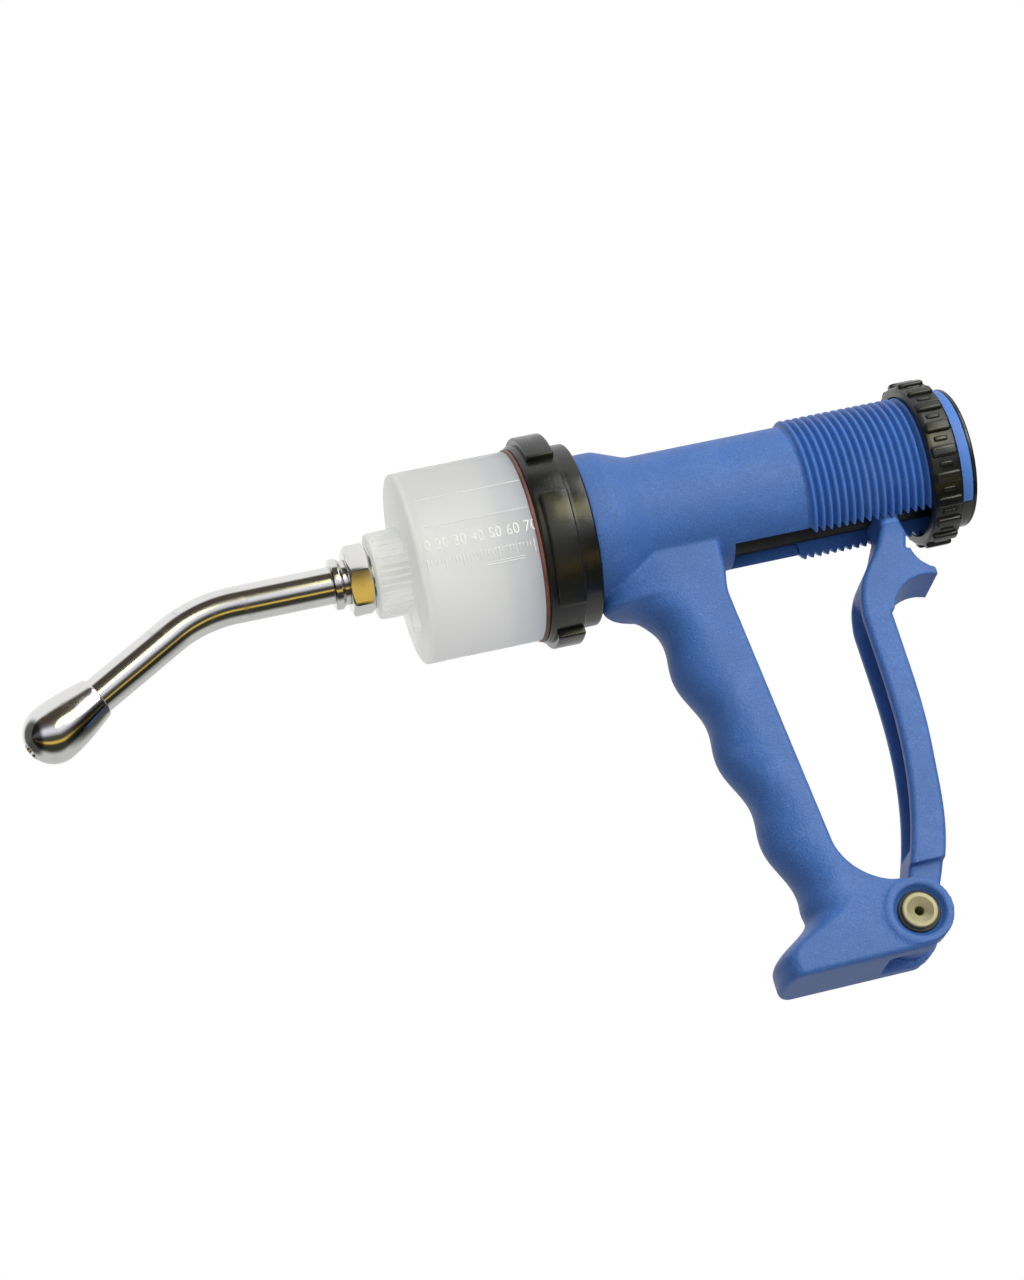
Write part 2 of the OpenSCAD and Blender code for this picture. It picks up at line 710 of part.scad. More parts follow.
module piston_o_ring() {
    color([0.07, 0.07, 0.07])
        o_ring((piston_front + piston_rear) / 2,
            cylinder_bore_r - o_ring_wire / 2 - 1.5 * seat_gap, o_ring_wire - seat_gap);
}

// Fluted disc valve: seat side at x, facing along dir
module disc_valve(x, r, dir) {
    stem_r = r - valve_rim;
    stem_l = 1.2;
    color("gainsboro") {
        ring_x(min(x, x + dir * valve_t), max(x, x + dir * valve_t), r);
        ring_x(min(x, x + dir * (valve_t + stem_l)), max(x, x + dir * (valve_t + stem_l)), stem_r);
    }
}

module inlet_valve() {
    disc_valve(inlet_seat - seat_gap, inlet_valve_r, -1);
}

module inlet_valve_spring() {
    color("silver")
        coil(rod_front + seat_gap, inlet_seat - valve_t - 2 * seat_gap,
            2 * inlet_valve_r - 2 * valve_wire, valve_wire, 6);
}

module return_spring() {
    color("silver")
        coil(bore_front + seat_gap, sleeve_front + spring_well - seat_gap,
            spring_d, spring_wire, spring_turns);
}

// Rod guide

module rod_gland() {
    color([0.2, 0.2, 0.2]) difference() {
        ring_x(body_front, bore_front, gland_r, rod_d / 2 + running_gap);
        ring_x(body_front - overlap, body_front + rod_seal_wire + seat_gap,
            rod_d / 2 + rod_seal_wire + slide_gap);
    }
}

module rod_seal() {
    color([0.07, 0.07, 0.07])
        o_ring(body_front + rod_seal_wire / 2, (rod_d + rod_seal_wire) / 2 + running_gap,
            rod_seal_wire - seat_gap);
}

// Union

module union_collar() {
    collar_flange = 1.5;
    color([0.1, 0.1, 0.1]) difference() {
        union() {
            ring_x(collar_front - collar_reach, collar_front + collar_flange,
                union_bore_r - seat_gap);
            ring_x(collar_front + collar_flange - overlap, body_front, collar_d / 2);
            ring_x(body_front - overlap, bore_front, collar_boss_r);
        }
        ring_x(collar_front - collar_reach - overlap, collar_front + slide_gap, cylinder_bore_r);
        ring_x(collar_front, body_front + overlap, rod_d / 2 + slide_gap);
        ring_x(body_front, bore_front + overlap, gland_r + seat_gap);
    }
}

// Turn that centres a lug on the underside, in degrees
lug_turn = -lug_arc / 2;

module union_nut() {
    nut_r = union_bore_r + union_nut_wall;
    nut_edge = 0.8;
    lug_rear_step = 0.3;
    color([0.1, 0.1, 0.1]) {
        turned([[union_bore_r + seat_gap, nut_front], [nut_r - nut_edge, nut_front],
            [nut_r, nut_front + nut_edge], [nut_r, collar_front],
            [union_bore_r + seat_gap, collar_front]]);
        for (i = [0:lug_count - 1])
            rotate([360 * i / lug_count + lug_turn, 0, 0]) rotate([0, 90, 0])
                rotate_extrude(angle = lug_arc) translate([nut_r - overlap, nut_front + lug_band])
                    square([lug_h + overlap, union_nut_l - lug_band - lug_rear_step]);
    }
}

module cylinder_seal() {
    color([0.42, 0.2, 0.16])
        ring_x(seal_front, nut_front, cylinder_r + 0.5, union_bore_r + seat_gap);
}

// Dose cylinder

module dose_cylinder() {
    edge = arc(cylinder_r - front_edge_r, cylinder_front + front_edge_r, front_edge_r, 270, 360);
    rear = collar_front - collar_reach;
    ridge_w = 0.8;
    ridge_start = 1;
    rib = [2.2, 3.2, 6.5];
    color([0.93, 0.94, 0.94, 0.6]) difference() {
        union() {
            turned(concat([[0, cylinder_front]], edge, [[cylinder_r, seal_front],
                [union_bore_r, seal_front], [union_bore_r, rear], [0, rear]]));
            ring_x(hub_front, cylinder_front + overlap, hub_d / 2);
            for (i = [0:hub_ridges - 1])
                rotate([360 * i / hub_ridges, 0, 0])
                    translate([hub_front + ridge_start, -ridge_w / 2, hub_d / 2 - overlap])
                        cube([hub_l - ridge_start + overlap, ridge_w, overlap + hub_ridge_h]);
            // moulded rib under the hub
            translate([cylinder_front - rib[0], -rib[1] / 2, -hub_d / 2 - rib[2]])
                cube([rib[0] + overlap, rib[1], rib[2] + 2 * overlap]);
        }
        ring_x(cylinder_inner_front, rear + overlap, cylinder_bore_r);
        ring_x(outlet_shelf - overlap, cylinder_inner_front + overlap, outlet_seat_r);
        ring_x(outlet_stop - overlap, outlet_shelf, outlet_chamber_r);
        ring_x(hub_front - overlap, outlet_stop, tail_r + seat_gap);
    }
}

module outlet_valve() {
    disc_valve(outlet_shelf - seat_gap, outlet_valve_r, -1);
}

module outlet_valve_spring() {
    color("silver")
        coil(outlet_stop + seat_gap, outlet_shelf - valve_t - 2 * seat_gap,
            2 * outlet_valve_r - 2 * valve_wire, valve_wire, 4);
}

// Nozzle

module nozzle_washer() {
    color("silver") ring_x(washer_front, hub_front, hex_af / 2, tail_r + seat_gap);
}

module nozzle_nut() {
    corner_r = hex_af / 2 / cos(30);
    bevel = 1;
    bevel_r = hex_af / 2 - 0.2;
    bevel_end_r = corner_r + 0.1;
    hex_turn = 38;
    color("silver") difference() {
        intersection() {
            translate([hex_front, 0, 0]) rotate([0, 90, 0]) rotate([0, 0, hex_turn])
                cylinder(r = corner_r, h = hex_l, $fn = 6);
            turned([[0, hex_front], [bevel_r, hex_front], [bevel_end_r, hex_front + bevel],
                [bevel_end_r, washer_front - bevel], [bevel_r, washer_front], [0, washer_front]]);
        }
        ring_x(hex_front - overlap, washer_front + overlap, tail_r + seat_gap);
    }
}

module nozzle_ferrule() {
    r = ferrule_d / 2;
    edge = 0.8;
    waist = 0.9;
    waist_from = hex_front - 0.4 * ferrule_l;
    color("silver")
        turned([[tube_d / 2 + seat_gap, ferrule_front], [r - edge, ferrule_front],
            [r, ferrule_front + edge], [r, waist_from - waist / 2],
            [r - waist, waist_from + waist / 2], [r - waist, hex_front],
            [tube_d / 2 + seat_gap, hex_front]]);
}

// Frame at the bend's centre: the bend starts on its +X axis and turns about its Z axis
module at_bend() {
    translate([bend_x, 0, -bend_r]) rotate([90, -90, 0]) children();
}

// Frame at the end of the bend, +Z along the nozzle
module at_bend_end() {
    at_bend() rotate([0, 0, bend_angle]) translate([bend_r, 0, 0]) rotate([-90, 0, 0]) children();
}

// Path of the nozzle: straight, bend, straight; the tail fills the nut
module nozzle_path(r, rear, extra) {
    ring_x(bend_x, rear, r);
    at_bend() rotate_extrude(angle = bend_angle) translate([bend_r, 0]) circle(r = r);
    at_bend_end() translate([0, 0, -overlap])
        cylinder(r = r + bend_draw, h = tube_end_run + extra + overlap);
}

tip_socket = 8;

module nozzle_tube() {
    color("silver") difference() {
        union() {
            nozzle_path(tube_d / 2, outlet_stop, tip_socket);
            ring_x(hex_front, outlet_stop, tail_r);
        }
        nozzle_path(tube_bore / 2, outlet_stop + overlap, tip_socket + overlap);
    }
}

module nozzle_tip() {
    r = tip_d / 2;
    start_r = tube_d / 2 + 0.9;
    edge = 0.3;
    end_r = outlet_d / 2;
    round_from = tip_l - r * cos(asin(end_r / r));
    swell = [r - 2 * edge, round_from * 0.6];
    nose = arc(0, round_from, r, 0, acos((end_r + edge) / r), 8);
    color("silver") at_bend_end() translate([0, 0, tube_end_run]) rotate_extrude()
        polygon(concat([[tube_d / 2 + seat_gap, 0], [start_r - edge, 0], [start_r, edge], swell],
            nose, [[end_r, tip_l], [end_r, tip_socket + seat_gap],
            [tube_d / 2 + seat_gap, tip_socket + seat_gap]]));
}

pistol_body();
squeeze_lever();
pivot_pin();
pivot_seals();
dose_ring();
rear_cap();
plunger_sleeve();
plunger_rod();
piston();
piston_o_ring();
inlet_valve();
inlet_valve_spring();
return_spring();
rod_gland();
rod_seal();
union_collar();
union_nut();
cylinder_seal();
dose_cylinder();
outlet_valve();
outlet_valve_spring();
nozzle_washer();
nozzle_nut();
nozzle_ferrule();
nozzle_tube();
nozzle_tip();
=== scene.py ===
"""Finished surfaces of a pistol-form livestock drencher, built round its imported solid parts."""
import math

import bmesh
import bpy
import numpy as np
from bpy.props import FloatProperty, FloatVectorProperty, IntProperty, PointerProperty
from mathutils import Matrix, Vector


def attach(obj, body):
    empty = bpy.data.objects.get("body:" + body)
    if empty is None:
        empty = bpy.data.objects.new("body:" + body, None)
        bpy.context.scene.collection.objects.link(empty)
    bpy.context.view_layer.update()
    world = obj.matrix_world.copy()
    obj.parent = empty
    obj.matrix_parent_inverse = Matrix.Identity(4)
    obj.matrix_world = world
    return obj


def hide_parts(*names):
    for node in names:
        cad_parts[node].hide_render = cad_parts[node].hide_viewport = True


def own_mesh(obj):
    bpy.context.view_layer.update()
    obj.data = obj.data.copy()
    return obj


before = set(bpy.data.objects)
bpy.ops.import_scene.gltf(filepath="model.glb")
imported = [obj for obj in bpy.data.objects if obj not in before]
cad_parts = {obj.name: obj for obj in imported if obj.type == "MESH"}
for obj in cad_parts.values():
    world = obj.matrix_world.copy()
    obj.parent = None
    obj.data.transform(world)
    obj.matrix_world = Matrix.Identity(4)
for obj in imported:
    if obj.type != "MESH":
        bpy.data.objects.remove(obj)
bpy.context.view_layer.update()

bl_info = {
    "name": "Livestock drencher surfaces",
    "version": (1, 0, 0),
    "blender": (4, 5, 0),
    "location": "3D View > Sidebar > Drencher",
    "description": "Builds the finished pieces and materials of a livestock drencher round its frame",
    "category": "Object",
}

MM = 0.001

# Places along the barrel's axis, in millimetres
FERRULE_FRONT = -90.867
HEX_FRONT = -86.367
WASHER_FRONT = -79.867
HUB_FRONT = -79.067
OUTLET_STOP = -75.667
CYLINDER_FRONT = -69.367
OUTLET_SHELF = -68.567
CYLINDER_INNER = -66.967
SEAL_FRONT = -35.8
NUT_FRONT = -34.6
PISTON_FRONT = -31.0
ROD_FRONT = -29.0
CYLINDER_REAR = -27.9
PISTON_REAR = -25.0
COLLAR_FRONT = -24.7
COLLAR_STEP = -23.2
BODY_FRONT = -18.6
INLET_SEAT = -15.0
BORE_FRONT = -13.0
BOSS_SLOPE = -11.0
BOSS_NECK = -1.5
SLOT_FRONT = 22.067
SLEEVE_FRONT = 22.667
THREAD_FRONT = 44.567
SPRING_SEAT = 56.067
HOSE_SEAT = 75.567
ROD_REAR = 77.567
RING_FRONT = 80.067
SLEEVE_REAR = 84.667
CAP_FRONT = 84.967
RING_REAR = 89.067
SPIGOT_END = 91.567
BODY_REAR = 93.067
RIM_REAR = 94.367

# Radii about the barrel's axis, in millimetres
OUTLET_R = 2.4
ROD_BORE_R = 2.6
INLET_CHAMBER_R = 3.5
SPIGOT_R = 4.5
ROD_R = 5.0
ROD_HEAD_R = 6.6
VALVE_CHAMBER_R = 4.2
TUBE_SEAT_R = 6.05
GLAND_R = 7.65
COLLAR_BOSS_R = 9.4
HOSE_WELL_R = 11.0
SPRING_WELL_R = 12.0
BORE_R = 15.5
BARREL_R = 18.8
BOSS_R = 22.3
CYLINDER_BORE_R = 25.1
COLLAR_R = 26.3
UNION_BORE_R = 26.5
SEAL_R = 27.8
NUT_R = 28.6
LUG_R = 30.5

# Turn of the union nut as it happens to be tightened
LUG_TURN = math.radians(30)

# Lever nose, pivot and foot, in millimetres
NOSE_X = 68.534
NOSE_Z = -14.229
NOSE_R = 3.5
PIVOT_X = 38.6
PIVOT_DEPTH = 132.5
FOOT_DEPTH = 142.5
FOOT_H = 35.5
CHEEK_R = 9.3
CHEEK_FACE = 13.1
PIN_R = 4.0
PIN_RECESS = 2.2
RECESS_FLOOR_R = 6.2
RECESS_FACE_R = 7.3
SLOT_HALF = 9.0
CLEVIS_HALF = 6.7
CLEVIS_FRONT = 28.6
CLEVIS_TOP = 115.0

# Nozzle, in millimetres
BEND_X = -118.367
BEND_R = 38.0
BEND_ANGLE = math.radians(30)
TIP_START = 27.2
TIP_L = 23.5
TIP_SOCKET = 8.05

# Edge roundings and working gaps, in millimetres
FINE = 0.2
EDGE = 0.4
SOFT = 0.7
GAP = 0.05
CLEAR = 0.3
REST = 0.02
# How far a cutter reaches past what it cuts, in millimetres
OVER = 1.0


# Sizes and colours that a user may change

def length(name, description, millimetres):
    return FloatProperty(name=name, description=description, default=millimetres * MM,
                         min=0.0, unit="LENGTH", precision=5)


def count(name, description, default, least):
    return IntProperty(name=name, description=description, default=default, min=least)


def colour(name, description, default):
    return FloatVectorProperty(name=name, description=description, default=default,
                               min=0.0, max=1.0, size=3, subtype="COLOR")


class DrencherSizes(bpy.types.PropertyGroup):
    """Sizes of the drencher's finished pieces"""
    grip_w: length("Grip width", "Width of the pistol grip", 23)
    foot_w: length("Foot width", "Width of the grip's foot", 25)
    lever_w: length("Lever width", "Width of the squeeze lever", 17.2)
    lever_t: length("Lever thickness", "Thickness of the squeeze lever, front to rear", 8.4)
    channel_depth: length("Channel depth", "Depth of the channel along the lever's front", 4.6)
    thread_pitch: length("Thread pitch", "Spacing of the barrel's ridges", 2.3)
    thread_h: length("Thread height", "Height of the barrel's ridges", 1.5)
    cylinder_d: length("Cylinder diameter", "Outside diameter of the dose cylinder", 54.6)
    hub_d: length("Hub diameter", "Diameter of the cylinder's outlet hub", 24.2)
    numeral_h: length("Numeral height", "Height of the moulded graduation numerals", 3.1)
    numeral_step: length("Graduation step", "Distance between two numerals", 5.0)
    relief: length("Relief", "Height of moulded numerals and ticks", 0.22)
    tube_d: length("Tube diameter", "Outside diameter of the nozzle tube", 10.6)
    tip_d: length("Tip diameter", "Largest diameter of the nozzle's olive tip", 16.8)
    spring_wire: length("Spring wire", "Wire of the return spring", 1.8)
    body_grid: length("Body grid", "Grid on which the body's forms are melted together", 0.62)
    lever_grid: length("Lever grid", "Grid on which the lever's forms are melted together", 0.45)
    ring_bars: count("Ring bars", "Grip bars round the dose ring", 20, 6)
    union_lugs: count("Union lugs", "Grip lugs round the union nut", 4, 3)
    hub_ridges: count("Hub ridges", "Fine ridges round the hub", 36, 6)
    spring_turns: count("Spring turns", "Turns of the return spring", 11, 3)


class DrencherColours(bpy.types.PropertyGroup):
    """Colours of the drencher's materials"""
    body_blue: colour("Body blue", "Moulded plastic of the body and lever", (0.042, 0.136, 0.435))
    scuffed_blue: colour("Scuffed blue", "The blue plastic where handling has paled it",
                         (0.105, 0.205, 0.49))
    fitting_black: colour("Fitting black", "Plastic of the union, ring and cap", (0.0080, 0.0090, 0.0080))
    worn_black: colour("Worn black", "The black plastic where it has greyed", (0.022, 0.024, 0.018))
    sleeve_black: colour("Sleeve black", "Plastic of the plunger inside the barrel", (0.003, 0.0036, 0.005))
    rubber_black: colour("Rubber black", "Seals and O-rings", (0.014, 0.014, 0.015))
    seal_brown: colour("Seal brown", "Flat seal of the dose cylinder", (0.14, 0.052, 0.045))
    cylinder_white: colour("Cylinder white", "Frosted plastic of the dose cylinder", (0.735, 0.74, 0.74))
    # Painted shade: the frosted wall is painted darker and bluer where the piston and union stand behind it
    cylinder_shade: colour("Cylinder shade", "Frosted plastic where the union shows through",
                           (0.60, 0.63, 0.68))
    # Mark white is also the colour of the painted highlight lines along the cylinder's wall
    mark_white: colour("Mark white", "Moulded numerals and ticks", (0.85, 0.85, 0.85))
    plating: colour("Plating", "Polished plating of the nozzle", (0.80, 0.795, 0.78))
    pin_metal: colour("Pin metal", "Hollow pivot pin", (0.46, 0.43, 0.27))
    spring_metal: colour("Spring metal", "Drawn spring wire", (0.42, 0.42, 0.43))
    valve_white: colour("Valve white", "Valve discs", (0.74, 0.73, 0.69))
    floor: colour("Floor", "Pale studio floor", (0.82, 0.82, 0.82))


# Mesh helpers: points are given in millimetres

# Points within this many metres are one, and a radius below this many millimetres lies on the axis
SAME_POINT = 1e-7
ON_AXIS = 1e-6
# Share of a corner's shorter side that its arc may take
CORNER_SHARE = 0.49


def link_mesh(name, mesh):
    obj = bpy.data.objects.new(name, mesh)
    bpy.context.scene.collection.objects.link(obj)
    return obj


def new_object(name, points, faces, edges=()):
    mesh = bpy.data.meshes.new(name)
    mesh.from_pydata([tuple(c * MM for c in p) for p in points], list(edges), faces)
    mesh.update()
    return link_mesh(name, mesh)


def settle(obj):
    """Makes the modifiers' result the object's own mesh."""
    graph = bpy.context.evaluated_depsgraph_get()
    mesh = bpy.data.meshes.new_from_object(obj.evaluated_get(graph), depsgraph=graph)
    old = obj.data
    obj.modifiers.clear()
    obj.data = mesh
    mesh.name = obj.name
    if old.users == 0:
        bpy.data.meshes.remove(old)


def discard(*objs):
    for obj in objs:
        mesh = obj.data
        bpy.data.objects.remove(obj)
        if mesh.users == 0:
            bpy.data.meshes.remove(mesh)


def gather(obj, *others):
    """Puts other pieces' meshes into the object's own mesh."""
    shape = bmesh.new()
    for part in (obj, *others):
        shape.from_mesh(part.data)
    shape.to_mesh(obj.data)
    shape.free()
    discard(*others)


def face_outwards(obj):
    shape = bmesh.new()
    shape.from_mesh(obj.data)
    bmesh.ops.remove_doubles(shape, verts=shape.verts, dist=SAME_POINT)
    bmesh.ops.recalc_face_normals(shape, faces=shape.faces)
    shape.to_mesh(obj.data)
    shape.free()
    return obj


def shade(obj, degrees):
    obj.data.shade_smooth()
    obj.data.set_sharp_from_angle(angle=math.radians(degrees))


def stretch_between(start, end, step):
    parts = max(1, math.ceil(abs(end - start) / step))
    return [start + (end - start) * i / parts for i in range(parts + 1)]


def circle_angles(steps):
    return [2 * math.pi * k / steps for k in range(steps)]


def arc_points(cx, cy, r, a0, a1, steps):
    return [(cx + r * math.cos(a), cy + r * math.sin(a))
            for a in (a0 + (a1 - a0) * i / steps for i in range(steps + 1))]


def rounded(corners, closed=True, steps=4):
    """Outline through corners (x, r, rounding), with an arc at each corner."""
    out = []
    last = len(corners) - 1
    for i, (x, r, fillet) in enumerate(corners):
        if fillet <= 0 or (not closed and i in (0, last)):
            out.append((x, r))
            continue
        here = Vector((x, r))
        before = Vector(corners[i - 1][:2]) - here
        after = Vector(corners[(i + 1) % len(corners)][:2]) - here
        reach = min(before.length, after.length) * CORNER_SHARE
        before.normalize()
        after.normalize()
        half = before.angle(after) / 2
        cut = min(fillet / math.tan(half), reach)
        radius = cut * math.tan(half)
        centre = here + (before + after).normalized() * (radius / math.sin(half))
        start = here + before * cut - centre
        end = here + after * cut - centre
        turn = start.angle_signed(end)
        for k in range(steps + 1):
            out.append(tuple(centre + Matrix.Rotation(-turn * k / steps, 2) @ start))
    return out


def lathe(name, outline, closed=True, steps=128, place=None):
    """Turned piece about the X axis from an outline of (x, r)."""
    points, faces, rows = [], [], []
    for x, r in outline:
        if r < ON_AXIS:
            rows.append([len(points)] * steps)
            points.append((x, 0.0, 0.0))
        else:
            rows.append(list(range(len(points), len(points) + steps)))
            points += [(x, r * math.cos(a), r * math.sin(a)) for a in circle_angles(steps)]
    last = len(rows) if closed else len(rows) - 1
    for i in range(last):
        low, high = rows[i], rows[(i + 1) % len(rows)]
        for k in range(steps):
            m = (k + 1) % steps
            face = list(dict.fromkeys((low[k], low[m], high[m], high[k])))
            if len(face) > 2:
                faces.append(face)
    obj = new_object(name, points, faces)
    if place is not None:
        obj.data.transform(place)
    return face_outwards(obj)


def loft(name, sections):
    """Solid through closed sections with equal counts of points."""
    sides = len(sections[0])
    points = [p for s in sections for p in s]
    last = (len(sections) - 1) * sides
    faces = [tuple(reversed(range(sides))), tuple(range(last, last + sides))]
    for k in range(len(sections) - 1):
        for i in range(sides):
            a, b = k * sides + i, k * sides + (i + 1) % sides
            faces.append((a, b, b + sides, a + sides))
    return face_outwards(new_object(name, points, faces))


def block(name, low, high):
    """Plain cutter between two corners."""
    (x0, y0, z0), (x1, y1, z1) = low, high
    return loft(name, [[(x0, y0, z), (x1, y0, z), (x1, y1, z), (x0, y1, z)] for z in (z0, z1)])


def round_bar(name, x, z, r, y0, y1, end_r=None, steps=96):
    """Round bar or cone along Y at a point of the XZ plane."""
    ends = ((y0, r), (y1, r if end_r is None else end_r))
    turns = [(math.cos(a), math.sin(a)) for a in circle_angles(steps)]
    return loft(name, [[(x + radius * c, y, z + radius * s) for c, s in turns] for y, radius in ends])


def carve(obj, cutters, operation="DIFFERENCE"):
    for cutter in cutters:
        step = obj.modifiers.new(cutter.name, "BOOLEAN")
        step.operation = operation
        step.solver = "EXACT"
        step.object = cutter
    settle(obj)
    discard(*cutters)
    if not obj.data.polygons:
        raise RuntimeError(obj.name + " was cut away")
    return obj


def soften(mesh, passes):
    """Relaxes the mesh without shrinking it: each step inwards is followed by one outwards."""
    inwards, outwards = 0.5, -0.52
    points = np.empty(len(mesh.vertices) * 3)
    mesh.vertices.foreach_get("co", points)
    points = points.reshape(-1, 3)
    edges = np.empty(len(mesh.edges) * 2, dtype=np.int64)
    mesh.edges.foreach_get("vertices", edges)
    a, b = edges.reshape(-1, 2).T
    total = len(points)
    near = np.maximum(np.bincount(np.concatenate((a, b)), minlength=total), 1)
    for share in (inwards, outwards) * passes:
        for c in range(3):
            line = points[:, c]
            around = np.bincount(a, line[b], total) + np.bincount(b, line[a], total)
            points[:, c] = line + share * (around / near - line)
    mesh.vertices.foreach_set("co", points.ravel())
    mesh.update()


def melt(obj, name, grid, passes):
    """Turns a solid into one even skin whose edges are softly rounded."""
    obj.name = name
    skin = obj.modifiers.new("skin", "REMESH")
    skin.mode = "VOXEL"
    skin.voxel_size = grid * MM
    settle(obj)
    if not obj.data.polygons:
        raise RuntimeError(name + " has no skin")
    soften(obj.data, passes)


def arc_bar(name, x0, x1, r0, r1, degrees, edge, steps=8):
    """Rounded bar on a round piece, from radius r0 to r1, centred at the top."""
    half, edge_steps, digits = math.radians(degrees) / 2, 4, 6
    edge_angle = edge / r1
    bends = [edge_angle * (1 - math.sin(math.pi / 2 * k / edge_steps)) for k in range(edge_steps + 1)]
    turns = {round(side * (half - bend), digits) for side in (-1, 1) for bend in bends}
    turns |= {round((half - edge_angle) * (2 * k / steps - 1), digits) for k in range(1, steps)}
    sections = []
    for a in sorted(turns):
        t = min(1.0, max(0.0, (half - abs(a)) / edge_angle))
        drop = edge * (1 - math.sqrt(max(0.0, 1 - (1 - t) ** 2)))
        outline = rounded([(x0 + drop, r0, 0), (x1 - drop, r0, 0), (x1 - drop, r1 - drop, edge),
                           (x0 + drop, r1 - drop, edge)], steps=3)
        sections.append([(x, r * math.sin(a), r * math.cos(a)) for x, r in outline])
    return loft(name, sections)


# Geometry node trees

def tree_with(name, inputs):
    tree = bpy.data.node_groups.new(name, "GeometryNodeTree")
    tree.interface.new_socket("Geometry", in_out="INPUT", socket_type="NodeSocketGeometry")
    for label, kind in inputs:
        tree.interface.new_socket(label, in_out="INPUT", socket_type="NodeSocket" + kind)
    tree.interface.new_socket("Geometry", in_out="OUTPUT", socket_type="NodeSocketGeometry")
    return tree, tree.nodes.new("NodeGroupInput"), tree.nodes.new("NodeGroupOutput")


def math_node(tree, operation, first, second):
    node = tree.nodes.new("ShaderNodeMath")
    node.operation = operation
    for socket, value in zip(node.inputs, (first, second)):
        if isinstance(value, (int, float)):
            socket.default_value = value
        else:
            tree.links.new(value, socket)
    return node.outputs[0]


def finish_tree(tree, start, end, geometry):
    real = tree.nodes.new("GeometryNodeRealizeInstances")
    paint = tree.nodes.new("GeometryNodeSetMaterial")
    tree.links.new(geometry, real.inputs["Geometry"])
    tree.links.new(real.outputs["Geometry"], paint.inputs["Geometry"])
    tree.links.new(start.outputs["Finish"], paint.inputs["Material"])
    tree.links.new(paint.outputs["Geometry"], end.inputs["Geometry"])
    return tree


def repeat_tree(name, measure):
    """Starts a tree that repeats a piece: the tree, its ends, its points and each copy's number."""
    inputs = [("Piece", "Object"), ("Count", "Int"), (measure, "Float"), ("Finish", "Material")]
    tree, start, end = tree_with(name, inputs)
    points = tree.nodes.new("GeometryNodePoints")
    number = tree.nodes.new("GeometryNodeInputIndex").outputs["Index"]
    tree.links.new(start.outputs["Count"], points.inputs["Count"])
    return tree, start, end, points, number


def placed_copies(tree, start, points, turn=None):
    """Copies of the tree's piece on its points, each at its own turn, joined to the base."""
    piece = tree.nodes.new("GeometryNodeObjectInfo")
    put = tree.nodes.new("GeometryNodeInstanceOnPoints")
    both = tree.nodes.new("GeometryNodeJoinGeometry")
    tree.links.new(start.outputs["Piece"], piece.inputs["Object"])
    tree.links.new(points.outputs["Points"], put.inputs["Points"])
    tree.links.new(piece.outputs["Geometry"], put.inputs["Instance"])
    if turn is not None:
        tree.links.new(turn, put.inputs["Rotation"])
    tree.links.new(put.outputs["Instances"], both.inputs["Geometry"])
    tree.links.new(start.outputs["Geometry"], both.inputs["Geometry"])
    return both.outputs["Geometry"]


def ring_tree():
    """Repeats a piece round the X axis and joins it to the base."""
    tree, start, end, points, number = repeat_tree("ring_of_pieces", "Turn")
    spin = tree.nodes.new("ShaderNodeCombineXYZ")
    share = math_node(tree, "DIVIDE", 2 * math.pi, start.outputs["Count"])
    around = math_node(tree, "MULTIPLY", number, share)
    tree.links.new(math_node(tree, "ADD", around, start.outputs["Turn"]), spin.inputs["X"])
    return finish_tree(tree, start, end, placed_copies(tree, start, points, spin.outputs["Vector"]))


def row_tree():
    """Repeats a piece along X at a pitch and joins it to the base."""
    tree, start, end, points, number = repeat_tree("row_of_pieces", "Pitch")
    place = tree.nodes.new("ShaderNodeCombineXYZ")
    tree.links.new(math_node(tree, "MULTIPLY", number, start.outputs["Pitch"]), place.inputs["X"])
    tree.links.new(place.outputs["Vector"], points.inputs["Position"])
    return finish_tree(tree, start, end, placed_copies(tree, start, points))


def tube_tree():
    """Sweeps a round section along the base's line of edges."""
    tree, start, end = tree_with("round_along_path", [("Radius", "Float"), ("Sides", "Int"),
                                                      ("Finish", "Material")])
    path = tree.nodes.new("GeometryNodeMeshToCurve")
    ring = tree.nodes.new("GeometryNodeCurvePrimitiveCircle")
    sweep = tree.nodes.new("GeometryNodeCurveToMesh")
    sweep.inputs["Fill Caps"].default_value = True
    tree.links.new(start.outputs["Geometry"], path.inputs["Mesh"])
    tree.links.new(start.outputs["Radius"], ring.inputs["Radius"])
    tree.links.new(start.outputs["Sides"], ring.inputs["Resolution"])
    tree.links.new(path.outputs["Curve"], sweep.inputs["Curve"])
    tree.links.new(ring.outputs["Curve"], sweep.inputs["Profile Curve"])
    return finish_tree(tree, start, end, sweep.outputs["Mesh"])


def grow(obj, tree, **values):
    """Runs a tree on the object with its inputs set, and keeps the result as a plain mesh."""
    step = obj.modifiers.new(tree.name, "NODES")
    step.node_group = tree
    for socket in tree.interface.items_tree:
        if socket.in_out == "INPUT" and socket.name in values:
            step[socket.identifier] = values[socket.name]
    settle(obj)
    if not obj.data.polygons:
        raise RuntimeError(obj.name + " grew no faces")


# Shader groups shared by the materials

def shader_group(name, inputs, outputs):
    group = bpy.data.node_groups.new(name, "ShaderNodeTree")
    for label, kind in inputs:
        group.interface.new_socket(label, in_out="INPUT", socket_type="NodeSocket" + kind)
    for label in outputs:
        group.interface.new_socket(label, in_out="OUTPUT", socket_type="NodeSocketFloat")
    return group, group.nodes.new("NodeGroupInput"), group.nodes.new("NodeGroupOutput")


def noise(tree, vector, scale, detail=4.0, rough=0.55, distortion=0.0):
    node = tree.nodes.new("ShaderNodeTexNoise")
    node.inputs["Detail"].default_value = detail
    node.inputs["Roughness"].default_value = rough
    node.inputs["Distortion"].default_value = distortion
    tree.links.new(vector, node.inputs["Vector"])
    if isinstance(scale, (int, float)):
        node.inputs["Scale"].default_value = scale
    else:
        tree.links.new(scale, node.inputs["Scale"])
    return node.outputs["Fac"]


